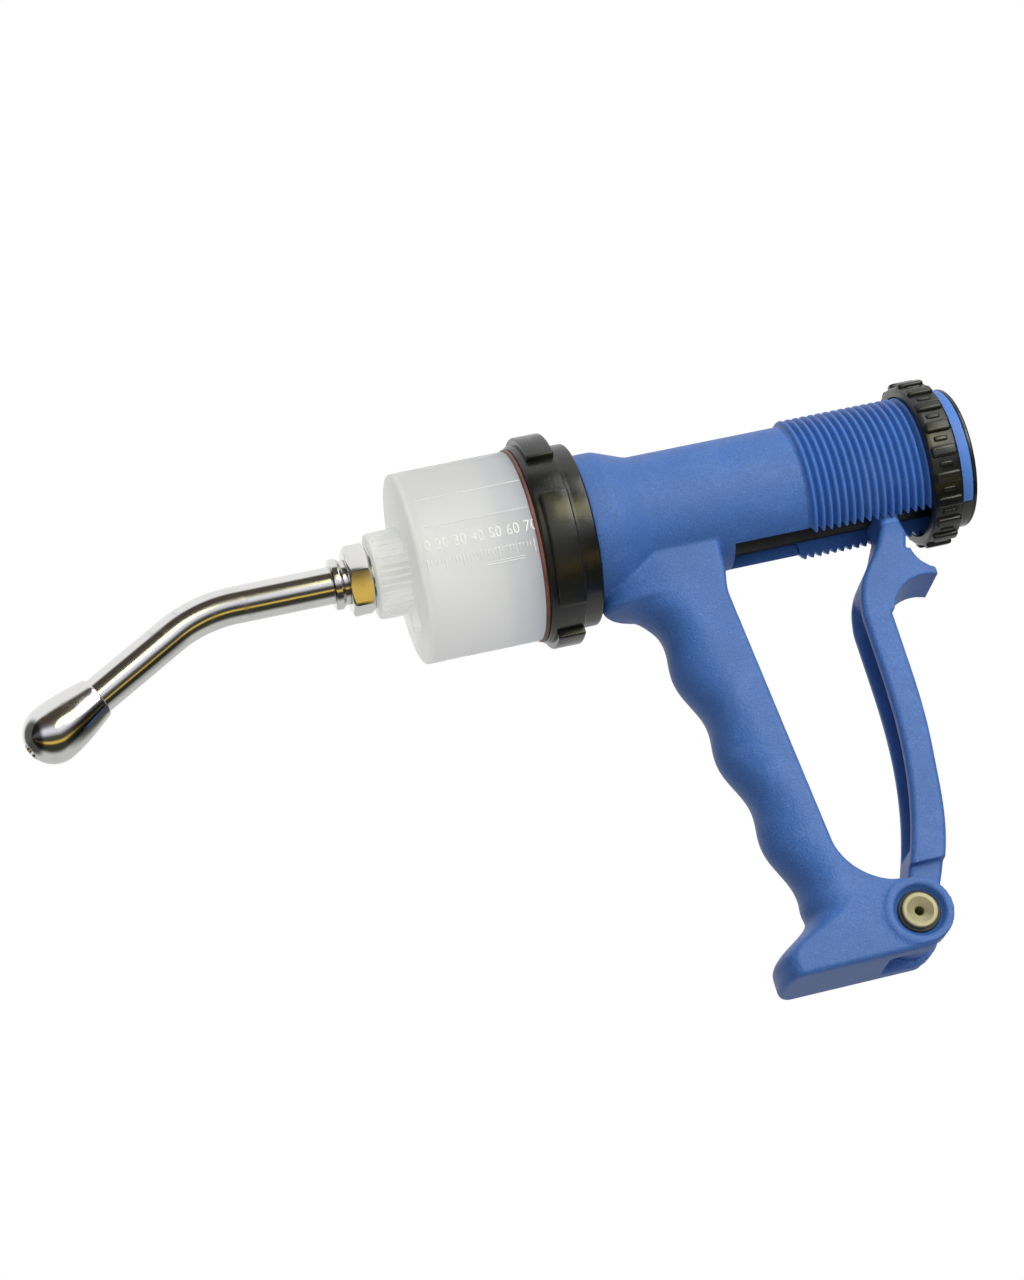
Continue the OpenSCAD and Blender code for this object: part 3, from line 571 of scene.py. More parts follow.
def span(tree, value, low, high, to_low=0.0, to_high=1.0):
    node = tree.nodes.new("ShaderNodeMapRange")
    node.interpolation_type = "SMOOTHSTEP"
    tree.links.new(value, node.inputs["Value"])
    limits = {"From Min": low, "From Max": high, "To Min": to_low, "To Max": to_high}
    for label, number in limits.items():
        node.inputs[label].default_value = number
    return node.outputs["Result"]


def grain_group():
    """Fine moulded grain: a height for the bump and a slow change of tone."""
    inputs = [("Vector", "Vector"), ("Grain Scale", "Float"), ("Tone Scale", "Float")]
    group, start, end = shader_group("moulded_grain", inputs, ("Height", "Tone"))
    vector = start.outputs["Vector"]
    fine = noise(group, vector, start.outputs["Grain Scale"], detail=3.0, rough=0.6)
    slow = noise(group, vector, start.outputs["Tone Scale"], detail=3.0, rough=0.55)
    group.links.new(span(group, fine, low=0.25, high=0.75), end.inputs["Height"])
    group.links.new(span(group, slow, low=0.3, high=0.7), end.inputs["Tone"])
    return group


# Streaks of the handling marks: their turn in radians, their stretch, and how much finer the specks are
STREAK_TURN = (0.4, 0.7, 0.2)
STREAK_STRETCH = (1.0, 7.0, 2.0)
SPECK_FINENESS = 14.0


def handling_group():
    """Patches, streaks and specks where hands and shelves have marked the surface."""
    inputs = [("Vector", "Vector"), ("Scale", "Float"), ("Amount", "Float")]
    group, start, end = shader_group("handling_marks", inputs, ("Mask", "Speck"))
    vector, scale, amount = (start.outputs[label] for label in ("Vector", "Scale", "Amount"))
    stretch = group.nodes.new("ShaderNodeMapping")
    stretch.inputs["Rotation"].default_value = STREAK_TURN
    stretch.inputs["Scale"].default_value = STREAK_STRETCH
    group.links.new(vector, stretch.inputs["Vector"])
    patch = noise(group, vector, scale, detail=5.0, rough=0.62, distortion=0.6)
    patch = span(group, patch, low=0.52, high=0.72, to_high=0.7)
    streak = noise(group, stretch.outputs["Vector"], scale, detail=6.0, rough=0.7)
    streak = span(group, streak, low=0.6, high=0.74)
    marks = math_node(group, "MAXIMUM", patch, streak)
    speck_scale = math_node(group, "MULTIPLY", scale, SPECK_FINENESS)
    speck = span(group, noise(group, vector, speck_scale, detail=2.0, rough=0.5), low=0.66, high=0.74)
    group.links.new(math_node(group, "MULTIPLY", marks, amount), end.inputs["Mask"])
    group.links.new(math_node(group, "MULTIPLY", speck, amount), end.inputs["Speck"])
    return group


class Finish:
    """One material under construction: its tree, its shader and the piece's own coordinates."""

    def __init__(self, name, roughness, metallic=0.0, **settings):
        self.material = bpy.data.materials.new(name)
        self.material.use_nodes = True
        self.tree = self.material.node_tree
        self.shader = next(n for n in self.tree.nodes if n.type == "BSDF_PRINCIPLED")
        self.shader.inputs["Roughness"].default_value = roughness
        self.shader.inputs["Metallic"].default_value = metallic
        for label, value in settings.items():
            self.shader.inputs[label.replace("_", " ")].default_value = value
        self.where = self.tree.nodes.new("ShaderNodeTexCoord").outputs["Object"]

    def group(self, tree, **values):
        node = self.tree.nodes.new("ShaderNodeGroup")
        node.node_tree = tree
        self.tree.links.new(self.where, node.inputs["Vector"])
        for label, value in values.items():
            node.inputs[label.replace("_", " ")].default_value = value
        return node.outputs

    def along(self, axis, low, high):
        """Rises from 0 to 1 between two places along X, Y or Z, in millimetres."""
        parts = self.tree.nodes.new("ShaderNodeSeparateXYZ")
        self.tree.links.new(self.where, parts.inputs["Vector"])
        return span(self.tree, parts.outputs[axis], low * MM, high * MM)

    def from_axis(self, low, high):
        """Rises from 0 to 1 between two distances from the barrel's axis, in millimetres."""
        flat = self.tree.nodes.new("ShaderNodeVectorMath")
        flat.operation = "MULTIPLY"
        flat.inputs[1].default_value = (0.0, 1.0, 1.0)
        self.tree.links.new(self.where, flat.inputs[0])
        distance = self.tree.nodes.new("ShaderNodeVectorMath")
        distance.operation = "LENGTH"
        self.tree.links.new(flat.outputs["Vector"], distance.inputs[0])
        return span(self.tree, distance.outputs["Value"], low * MM, high * MM)

    def blend(self, factor, low, high):
        node = self.tree.nodes.new("ShaderNodeMix")
        node.data_type = "RGBA"
        self.tree.links.new(factor, node.inputs["Factor"])
        for label, value in (("A", low), ("B", high)):
            socket = next(s for s in node.inputs if s.name == label and s.type == "RGBA")
            if isinstance(value, bpy.types.NodeSocket):
                self.tree.links.new(value, socket)
            else:
                socket.default_value = (*value, 1.0)
        return next(s for s in node.outputs if s.type == "RGBA")

    def drift(self, factor, tint, low, high):
        """A colour that goes from one share of its brightness to another."""
        return self.blend(factor, scaled(tint, low), scaled(tint, high))

    def feed(self, value, label):
        self.tree.links.new(value, self.shader.inputs[label])

    def rough(self, value, smooth, dull, full=1.0):
        """Roughness that goes from smooth to dull while a value goes from 0 to full."""
        self.feed(span(self.tree, value, 0.0, full, smooth, dull), "Roughness")

    def bump(self, height, distance, strength):
        node = self.tree.nodes.new("ShaderNodeBump")
        node.inputs["Strength"].default_value = strength
        node.inputs["Distance"].default_value = distance * MM
        self.tree.links.new(height, node.inputs["Height"])
        self.feed(node.outputs["Normal"], "Normal")


def scaled(colour_value, factor):
    return tuple(min(1.0, c * factor) for c in colour_value)


# Painted highlight on the crests of the barrel's thread, in millimetres: start along the barrel, reach
# below, fade above
CREST_START = (44.0, 45.0)
CREST_BELOW = 0.8
CREST_FADE = (0.5, 1.0)


def painted_crest_highlight(blue):
    """Picks out the crests of the barrel's thread among the blue surfaces, where a highlight is painted in
    a paler blue.
    """
    crest = BARREL_R + sizes_mm(bpy.context.scene)["thread_h"]
    high = blue.from_axis(crest - CREST_BELOW, crest)
    crests = math_node(blue.tree, "MULTIPLY", high, blue.along("X", *CREST_START))
    fade = blue.from_axis(crest + CREST_FADE[1], crest + CREST_FADE[0])
    return math_node(blue.tree, "MULTIPLY", crests, fade)


def blue_finish(tint, grain, marks):
    blue = Finish("blue_moulded_plastic", 0.5, Specular_IOR_Level=0.5)
    body = blue.group(grain, Grain_Scale=1900.0, Tone_Scale=55.0)
    wear = blue.group(marks, Scale=70.0, Amount=0.4)
    # Factors of the body blue: shade in the grain's pits, painted highlight on the thread's crests, and
    # pale wear specks
    pit_shade, crest_highlight_gain, speck_gleam = 0.72, 1.35, 1.15
    base = blue.drift(body["Tone"], tint.body_blue, low=0.96, high=1.14)
    base = blue.blend(body["Height"], scaled(tint.body_blue, pit_shade), base)
    # Painted highlight: the thread's crests are painted a paler blue than the rest of the body
    base = blue.blend(painted_crest_highlight(blue), base, scaled(tint.body_blue, crest_highlight_gain))
    base = blue.blend(wear["Mask"], base, tint.scuffed_blue)
    base = blue.blend(wear["Speck"], base, scaled(tint.scuffed_blue, speck_gleam))
    blue.feed(base, "Base Color")
    blue.rough(wear["Mask"], smooth=0.47, dull=0.6, full=0.6)
    blue.bump(body["Height"], distance=0.08, strength=0.8)
    return blue.material


def black_finish(tint, grain, marks):
    black = Finish("black_satin_plastic", 0.3, Specular_IOR_Level=0.6)
    body = black.group(grain, Grain_Scale=900.0, Tone_Scale=80.0)
    wear = black.group(marks, Scale=120.0, Amount=0.6)
    base = black.drift(body["Tone"], tint.fitting_black, low=0.8, high=1.3)
    black.feed(black.blend(wear["Mask"], base, tint.worn_black), "Base Color")
    black.rough(body["Tone"], smooth=0.22, dull=0.36)
    black.bump(body["Height"], distance=0.03, strength=0.35)
    return black.material


# Painted glow: light that the frosted wall gives off of its own, standing in for light scattered through
# it, from its front end, and from its side below and above
FRONT_PAINTED_GLOW = (0.135, 0.135, 0.128)
LOW_PAINTED_GLOW = (0.085, 0.085, 0.083)
HIGH_PAINTED_GLOW = (0.012, 0.012, 0.012)
# Changes of the frosted wall along the barrel, in millimetres: at its front end, where its painted glow is
# strongest, and where painted shade of the piston and union behind it begins
FRONT_END = (-69.2, -67.0)
PISTON_SHADE = (-47.5, -43.5)
UNION_SHADE = (-41.0, -36.0)


def frosted_finish(tint, grain, marks):
    frosted = Finish("frosted_cylinder_plastic", 0.5, Transmission_Weight=0.65, IOR=1.35,
                     Emission_Strength=1.0)
    body = frosted.group(grain, Grain_Scale=700.0, Tone_Scale=45.0)
    wear = frosted.group(marks, Scale=110.0, Amount=0.4)
    white, shade_tint, scuff_gleam = tint.cylinder_white, tint.cylinder_shade, 1.08
    base = frosted.drift(body["Tone"], white, low=0.97, high=1.0)
    base = frosted.blend(wear["Mask"], base, scaled(white, scuff_gleam))
    half_shade = tuple((a + b) / 2 for a, b in zip(white, shade_tint))
    # Painted shade: half the shade colour over the piston, the full shade colour over the union
    base = frosted.blend(frosted.along("X", *PISTON_SHADE), base, half_shade)
    frosted.feed(frosted.blend(frosted.along("X", *UNION_SHADE), base, shade_tint), "Base Color")
    # Painted glow: the wall's emission is stronger below than above and strongest at its front end, though
    # the wall is no lamp
    side = frosted.blend(frosted.along("Z", -SEAL_R, SEAL_R), LOW_PAINTED_GLOW, HIGH_PAINTED_GLOW)
    frosted.feed(frosted.blend(frosted.along("X", *FRONT_END), FRONT_PAINTED_GLOW, side), "Emission Color")
    frosted.rough(body["Tone"], smooth=0.5, dull=0.62)
    frosted.bump(body["Height"], distance=0.02, strength=0.25)
    return frosted.material


def chrome_finish(tint, grain, marks):
    chrome = Finish("polished_plating", 0.08, metallic=1.0)
    body = chrome.group(grain, Grain_Scale=260.0, Tone_Scale=120.0)
    wear = chrome.group(marks, Scale=150.0, Amount=0.8)
    chrome.feed(chrome.drift(wear["Mask"], tint.plating, low=1.0, high=0.82), "Base Color")
    chrome.rough(wear["Mask"], smooth=0.14, dull=0.26, full=0.8)
    chrome.bump(body["Height"], distance=0.02, strength=0.1)
    return chrome.material


# Plain finishes: material, colour, tones, roughness, scales of grain and tone, metallic, other settings
PLAIN_FINISHES = {
    "marks": ("moulded_mark_plastic", "mark_white", (0.96, 1.0), (0.3, 0.4), (900.0, 120.0), 0.0,
              {"Transmission_Weight": 0.1}),
    "sleeve": ("plunger_sleeve_plastic", "sleeve_black", (0.7, 1.4), (0.5, 0.6), (900.0, 90.0), 0.0,
               {"Specular_IOR_Level": 0.1}),
    "rubber": ("black_seal_rubber", "rubber_black", (0.7, 1.8), (0.45, 0.62), (1400.0, 200.0), 0.0, {}),
    "brown": ("brown_seal_rubber", "seal_brown", (0.7, 1.5), (0.4, 0.58), (1200.0, 160.0), 0.0, {}),
    "pin": ("machined_pin_metal", "pin_metal", (0.85, 1.0), (0.5, 0.62), (800.0, 300.0), 0.7, {}),
    "spring": ("drawn_spring_wire", "spring_metal", (0.8, 1.15), (0.22, 0.4), (1500.0, 260.0), 1.0, {}),
    "valve": ("valve_disc_plastic", "valve_white", (0.92, 1.0), (0.34, 0.5), (1200.0, 220.0), 0.0, {}),
}


def plain_finish(tint, grain, name, colour_name, tones, roughness, scales, metallic, settings):
    """A finish whose tone and roughness drift slowly over a fine grain."""
    made = Finish(name, roughness[0], metallic, **settings)
    body = made.group(grain, Grain_Scale=scales[0], Tone_Scale=scales[1])
    made.feed(made.drift(body["Tone"], getattr(tint, colour_name), *tones), "Base Color")
    made.rough(body["Tone"], *roughness)
    made.bump(body["Height"], distance=0.025, strength=0.35)
    return made.material


def make_finishes(tint):
    grain, marks = grain_group(), handling_group()
    made = {
        "blue": blue_finish(tint, grain, marks),
        "black": black_finish(tint, grain, marks),
        "frosted": frosted_finish(tint, grain, marks),
        "chrome": chrome_finish(tint, grain, marks),
    }
    for name, values in PLAIN_FINISHES.items():
        made[name] = plain_finish(tint, grain, *values)
    return made


FINISHES = {}
TREES = {}


def finish_named(name):
    if not FINISHES:
        FINISHES.update(make_finishes(bpy.context.scene.drencher_colours))
    return FINISHES[name]


def tree_named(name):
    if not TREES:
        TREES.update(ring=ring_tree(), row=row_tree(), tube=tube_tree())
    return TREES[name]


def repeat(base, kind, piece, finish, **values):
    """Joins copies of a piece to its base by the ring or row tree, and discards the piece."""
    grow(base, tree_named(kind), Piece=piece, Finish=finish_named(finish), **values)
    discard(piece)


def swept(name, path, r, sides, finish):
    """Round bar along a path of points."""
    bar = new_object(name, path, [], [(k, k + 1) for k in range(len(path) - 1)])
    grow(bar, tree_named("tube"), Radius=r * MM, Sides=sides, Finish=finish_named(finish))
    return face_outwards(bar)


def fit(obj, finish, body, slot, *nodes, degrees=32):
    """Gives a finished piece its material and its body, and hides the solids it stands for; its slot is not
    used.
    """
    obj.data.materials.clear()
    obj.data.materials.append(finish_named(finish))
    shade(obj, degrees)
    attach(obj, body)
    if nodes:
        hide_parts(*nodes)


def sizes_mm(scene):
    """The length sizes in millimetres, and the counts as they are."""
    group = scene.drencher_sizes
    out = {}
    for key in DrencherSizes.__annotations__:
        value = getattr(group, key)
        out[key] = value / MM if isinstance(value, float) else value
    return out


# Forms of the pistol grip, in millimetres; depth is measured down from the barrel's axis

def ease(t):
    u = min(max(t, 0.0), 1.0)
    return u * u * (3 - 2 * u)


def arc_drop(t, r):
    """How far a quarter arc of radius r has left its tangent at the distance t along it."""
    return r - math.sqrt(r * r - min(max(t, 0.0), r) ** 2)


FINGER_TOP = 40.0
FINGER_CREST = 37.0
FINGER_WAVE = 1.3
FINGER_PITCH = 26.4
FINGER_FADE = 6.0
GRIP_FRONT = -5.2
GRIP_FRONT_SLOPE = 0.19
GRIP_REAR = 16.3
GRIP_REAR_SLOPE = 0.085
GRIP_ROUND = 11.5
REAR_CORNER = 1.6
REAR_FLARE = 3.0
REAR_FLARE_FROM = 32.0
REAR_FLARE_RUN = 14.0
CHIN_DEPTH = BOSS_R + 4.7
CHIN_R = 3.0
CHIN_X = BODY_FRONT + 0.3
CHIN_FADE = 8.0
TOE_TOP = FOOT_DEPTH - 17.5
TOE_FULL = FOOT_DEPTH - 5.5
TOE_X = -1.6
TOE_ROUND = 5.0
FILLET_TOP = FOOT_DEPTH - FOOT_H
FOOT_FILLET = 16.0
FOOT_SPREAD = 18.0
FOOT_EDGE = 1.6
FOOT_HEEL = 4.0
FOOT_HEEL_RUN = 6.0


def finger(d):
    wave = FINGER_WAVE * math.cos(2 * math.pi * (d - FINGER_CREST) / FINGER_PITCH)
    return wave * ease((TOE_TOP - d) / FINGER_FADE) * ease((d - CHIN_DEPTH) / CHIN_FADE)


def grip_line(d):
    return GRIP_FRONT + GRIP_FRONT_SLOPE * (min(d, TOE_TOP) - FINGER_TOP)


def toe_share(d):
    return ease((d - TOE_TOP) / (TOE_FULL - TOE_TOP))


CHIN_FILLET = grip_line(CHIN_DEPTH) - CHIN_X - CHIN_R


def grip_front_at(d):
    if d < CHIN_DEPTH:
        return CHIN_X + arc_drop(d - CHIN_DEPTH + CHIN_R, CHIN_R)
    if d < TOE_TOP:
        return grip_line(d) + finger(d) - arc_drop(CHIN_FILLET - (d - CHIN_DEPTH), CHIN_FILLET)
    return grip_line(d) + (TOE_X - grip_line(d)) * toe_share(d)


def grip_flat_at(d):
    """Where the flat sides begin behind the half-round front."""
    flat = grip_line(d) + GRIP_ROUND
    return flat + (TOE_X + TOE_ROUND - flat) * toe_share(d)


def grip_rear_at(d):
    fillet = arc_drop(d - FILLET_TOP, FOOT_FILLET)
    flare = REAR_FLARE * ease((REAR_FLARE_FROM - d) / REAR_FLARE_RUN)
    heel = FOOT_HEEL * ease((d - PIVOT_DEPTH) / FOOT_HEEL_RUN)
    return min(GRIP_REAR + GRIP_REAR_SLOPE * (d - FINGER_TOP) + fillet + flare, PIVOT_X + heel)


def grip_section(d, grip_w, foot_w, front_steps=56, corner_steps=6):
    inset = arc_drop(d - (FOOT_DEPTH - FOOT_EDGE), FOOT_EDGE)
    half_w = (grip_w + (foot_w - grip_w) * ease((d - FILLET_TOP) / FOOT_SPREAD)) / 2 - inset
    front, rear, flat = grip_front_at(d) + inset, grip_rear_at(d) - inset, grip_flat_at(d)
    corner_x, corner_y = rear - REAR_CORNER, half_w - REAR_CORNER
    outline = arc_points(corner_x, corner_y, REAR_CORNER, 0, math.pi / 2, corner_steps)
    outline += [(flat + (flat - front) * math.cos(a), half_w * math.sin(a))
                for a in (math.pi / 2 + math.pi * i / front_steps for i in range(front_steps + 1))]
    outline += arc_points(corner_x, -corner_y, REAR_CORNER, 1.5 * math.pi, 2 * math.pi, corner_steps)
    return [(x, y, -d) for x, y in outline]


# Forms of the squeeze lever, in millimetres

BOW_DEPTH = 60.0
LEVER_BOW = 17.0
BOW_POWER = 2.5
LEAN_DEPTH = 46.0
LEAN_RUN = 27.0
NECK_LEAN = 0.7
NECK_DEPTH = 19.229
NECK_HALF = 2.9
NECK_FLARE = 4.0
HEAD_DEPTH = 33.5
HEAD_RUN = 11.0
HEAD_BULGE = 1.6
HEEL_DEPTH = 88.0
HEEL_RUN = 30.0
HEEL_BULGE = 1.8
SHOULDER = 118.5
LEVER_STEP = 2.6
LEVER_CORNER = 1.6
EYE_R = 8.2
TANG_HALF = 6.3
TANG_INSET = 0.1
NOSE_INSET = 0.6
SPUR_INSET = 0.2
CHANNEL_TOP = 34.0
CHANNEL_FADE = 14.0
CHANNEL_END = 10.0
CHANNEL_WALL = 3.4
CHANNEL_CORNER = 0.8
CHANNEL_SKIM = 0.1


def lever_middle(d):
    low = max(0.0, (d - BOW_DEPTH) / (PIVOT_DEPTH - BOW_DEPTH))
    belly = PIVOT_X + LEVER_BOW
    lean = (NOSE_X - NECK_LEAN - belly) * ease((LEAN_DEPTH - d) / LEAN_RUN)
    return belly - LEVER_BOW * low ** BOW_POWER + lean


# Thumb spur: its tip, the hollows above and under it, and the top and underside of its blank
SPUR_TIP = lever_middle(HEAD_DEPTH) + 15.0
SPUR_TOP = (SPUR_TIP + 4.0, -27.2)
SPUR_TOP_R = 9.25
SPUR_UNDER = (SPUR_TIP - 4.5, -48.5)
SPUR_UNDER_R = 11.35
BLANK_TOP = SPUR_TOP[1] - 1.0
BLANK_UNDER = SPUR_UNDER[1] + 3.0


def lever_half(d, lever_t):
    bulge = HEAD_BULGE * ease(1 - abs(d - HEAD_DEPTH) / HEAD_RUN)
    return NECK_HALF + (lever_t / 2 - NECK_HALF) * ease((d - NECK_DEPTH) / NECK_FLARE) + bulge


def lever_front(d, lever_t):
    return lever_middle(d) - lever_half(d, lever_t)


def lever_rear(d, lever_t):
    return lever_middle(d) + lever_half(d, lever_t) + HEEL_BULGE * ease((d - HEEL_DEPTH) / HEEL_RUN)


def bar_section(d, front, rear, half_w, corner, steps=6):
    outline = []
    sides = ((rear - corner, half_w - corner), (front + corner, half_w - corner),
             (front + corner, corner - half_w), (rear - corner, corner - half_w))
    for k, (x, y) in enumerate(sides):
        outline += arc_points(x, y, corner, k * math.pi / 2, (k + 1) * math.pi / 2, steps)
    return [(x, y, -d) for x, y in outline]


def lever_section(d, half_w, lever_t, inset=0.0):
    front, rear = lever_front(d, lever_t) + inset, lever_rear(d, lever_t) - inset
    return bar_section(d, front, rear, half_w, LEVER_CORNER)


def channel_section(d, size):
    front = lever_front(d, size["lever_t"])
    fade = ease((d - CHANNEL_TOP) / CHANNEL_FADE) * ease((SHOULDER - LEVER_STEP - d) / CHANNEL_END)
    floor = front + (size["channel_depth"] + CHANNEL_SKIM) * fade - CHANNEL_SKIM
    half_w = size["lever_w"] / 2 - CHANNEL_WALL
    return bar_section(d, front - size["lever_t"], floor, half_w, CHANNEL_CORNER)


# What polished surfaces see round the barrel: degrees up from the near side, and a colour
REFLECTED_BANDS = (
    (-180, (0.62, 0.62, 0.61)), (-108, (0.62, 0.62, 0.61)), (-90, (0.045, 0.046, 0.034)),
    (-62, (0.035, 0.036, 0.026)), (-58, (0.82, 0.56, 0.12)), (-52, (0.82, 0.56, 0.12)),
    (-48, (0.05, 0.05, 0.04)), (-32, (0.06, 0.06, 0.055)), (-15, (0.82, 0.82, 0.90)),
    (-3, (0.82, 0.82, 0.90)), (12, (0.15, 0.14, 0.13)), (28, (0.065, 0.052, 0.040)),
    (54, (0.065, 0.052, 0.040)), (64, (0.95, 0.95, 0.95)), (180, (0.95, 0.95, 0.95)))

# Soft lamps: place in metres, width and height in metres, watts, colour, seen in polish
LAMPS = (
    ("key_softbox", (0.84, -1.2, 0.5), (0.7, 1.6), 11.5, (1.0, 1.0, 1.0), True),
    ("upper_softbox", (0.4, -1.2, 0.7), (1.0, 1.0), 6.0, (1.0, 1.0, 1.0), False),
    ("low_softbox", (0.2, -1.25, -0.75), (1.2, 0.8), 10.0, (1.0, 1.0, 1.0), False),
    ("warm_softbox", (0.36, -1.2, 0.14), (0.6, 0.42), 2.6, (1.0, 0.95, 0.45), True),
    ("back_softbox", (0.1, 1.1, 0.7), (0.9, 0.9), 5.0, (1.0, 1.0, 1.0), False))
LAMP_AIM = (0.0, 0.0, -0.04)
AMBIENT = 0.50
# Surroundings that lie along the barrel are darker: their share and where they begin and end
SIDE_SHADE = 0.12
SIDE_FROM = 0.55
SIDE_TO = 0.8

# Camera that matches the photograph: its axes, its place in metres and its lens in millimetres
CAMERA_RIGHT = (0.964115, -0.076885, -0.254116)
CAMERA_UP = (0.204296, -0.396435, 0.895044)
CAMERA_BACK = (-0.169555, -0.914838, -0.366501)
CAMERA_PLACE = (-0.1780, -0.7151, -0.3139)
CAMERA_LENS = 78.75

# Studio floor: its height and half its width in millimetres, and its own glow
FLOOR_LEVEL = -620.0
FLOOR_HALF = 3500.0
FLOOR_GLOW = 0.45


class DRENCHER_OT_stage(bpy.types.Operator):
    """Sets up the floor, the soft studio light and the camera"""
    bl_idname = "drencher.stage"
    bl_label = "Stage"

    def execute(self, context):
        scene = context.scene
        scene.view_settings.view_transform = "Standard"
        self.floor(scene)
        self.lamps(scene)
        self.world(scene)
        self.camera(scene)
        return {"FINISHED"}

    def floor(self, scene):
        sides = ((-1, -1), (1, -1), (1, 1), (-1, 1))
        corners = [(x * FLOOR_HALF, y * FLOOR_HALF, FLOOR_LEVEL) for x, y in sides]
        floor = new_object("studio_floor", corners, [(0, 1, 2, 3)])
        paint = Finish("pale_floor", 0.85, Emission_Color=(1.0, 1.0, 1.0, 1.0),
                       Emission_Strength=FLOOR_GLOW)
        tone = span(paint.tree, noise(paint.tree, paint.where, scale=2.0, detail=2.0), low=0.3, high=0.7)
        paint.feed(paint.drift(tone, scene.drencher_colours.floor, low=0.99, high=1.0), "Base Color")
        floor.data.materials.append(paint.material)
        floor.visible_glossy = False
        floor.visible_diffuse = False

    def lamps(self, scene):
        for name, place, size, watts, tint, seen in LAMPS:
            lamp = bpy.data.lights.new(name, "AREA")
            lamp.shape = "RECTANGLE"
            lamp.size, lamp.size_y = size
            lamp.energy = watts
            lamp.color = tint
            obj = bpy.data.objects.new(name, lamp)
            obj.location = place
            obj.rotation_mode = "QUATERNION"
            obj.rotation_quaternion = (Vector(LAMP_AIM) - Vector(place)).to_track_quat("-Z", "Y")
            obj.visible_camera = False
            obj.visible_glossy = seen
            scene.collection.objects.link(obj)

    def world(self, scene):
        """White to the camera, even light on matt surfaces and banded surroundings in polished ones."""
        world = bpy.data.worlds.new("white_studio")
        world.use_nodes = True
        scene.world = world
        tree = world.node_tree
        lit = next(n for n in tree.nodes if n.type == "BACKGROUND")
        lit.inputs["Color"].default_value = (1, 1, 1, 1)
        lit.inputs["Strength"].default_value = AMBIENT
        mirrored = tree.nodes.new("ShaderNodeBackground")
        tree.links.new(self.bands(tree), mirrored.inputs["Color"])
        white = tree.nodes.new("ShaderNodeBackground")
        white.inputs["Color"].default_value = (1, 1, 1, 1)
        path = tree.nodes.new("ShaderNodeLightPath").outputs
        seen = math_node(tree, "MAXIMUM", path["Is Camera Ray"], path["Is Transmission Ray"])
        result = self.mixed(tree, path["Is Glossy Ray"], lit.outputs["Background"],
                            mirrored.outputs["Background"])
        result = self.mixed(tree, seen, result, white.outputs["Background"])
        tree.links.new(result, next(n for n in tree.nodes if n.type == "OUTPUT_WORLD").inputs["Surface"])

    def mixed(self, tree, factor, first, second):
        node = tree.nodes.new("ShaderNodeMixShader")
        for socket, value in zip(node.inputs, (factor, first, second)):
            tree.links.new(value, socket)
        return node.outputs["Shader"]

    def bands(self, tree):
        """Colour of the surroundings by the angle about the barrel, dimmed towards the barrel's ends."""
        direction = tree.nodes.new("ShaderNodeTexCoord").outputs["Generated"]
        parts = tree.nodes.new("ShaderNodeSeparateXYZ")
        tree.links.new(direction, parts.inputs["Vector"])
        ahead = math_node(tree, "MULTIPLY", parts.outputs["Y"], -1.0)
        angle = math_node(tree, "ARCTAN2", parts.outputs["Z"], ahead)
        share = math_node(tree, "ADD", math_node(tree, "DIVIDE", angle, 2 * math.pi), 0.5)
        ramp = tree.nodes.new("ShaderNodeValToRGB")
        stops = ramp.color_ramp.elements
        for i, (degrees, tint) in enumerate(REFLECTED_BANDS):
            place = degrees / 360 + 0.5
            if i == 0:
                stop = stops[0]
            elif i == len(REFLECTED_BANDS) - 1:
                stop = stops[len(stops) - 1]
            else:
                stop = stops.new(place)
            stop.position = place
            stop.color = (*tint, 1.0)
        tree.links.new(share, ramp.inputs["Fac"])
        aside = math_node(tree, "ABSOLUTE", parts.outputs["X"], 0.0)
        dim = tree.nodes.new("ShaderNodeVectorMath")
        dim.operation = "SCALE"
        tree.links.new(ramp.outputs["Color"], dim.inputs["Vector"])
        tree.links.new(span(tree, aside, SIDE_FROM, SIDE_TO, 1.0, SIDE_SHADE), dim.inputs["Scale"])
        return dim.outputs["Vector"]

    def camera(self, scene):
        lens = bpy.data.cameras.new("photo_camera")
        lens.lens = CAMERA_LENS
        lens.sensor_width = 36.0
        lens.clip_start = 0.01
        lens.clip_end = 20.0
        camera = bpy.data.objects.new("photo_camera", lens)
        rows = zip(CAMERA_RIGHT, CAMERA_UP, CAMERA_BACK, CAMERA_PLACE)
        camera.matrix_world = Matrix([*rows, (0, 0, 0, 1)])
        scene.collection.objects.link(camera)
        scene.camera = camera


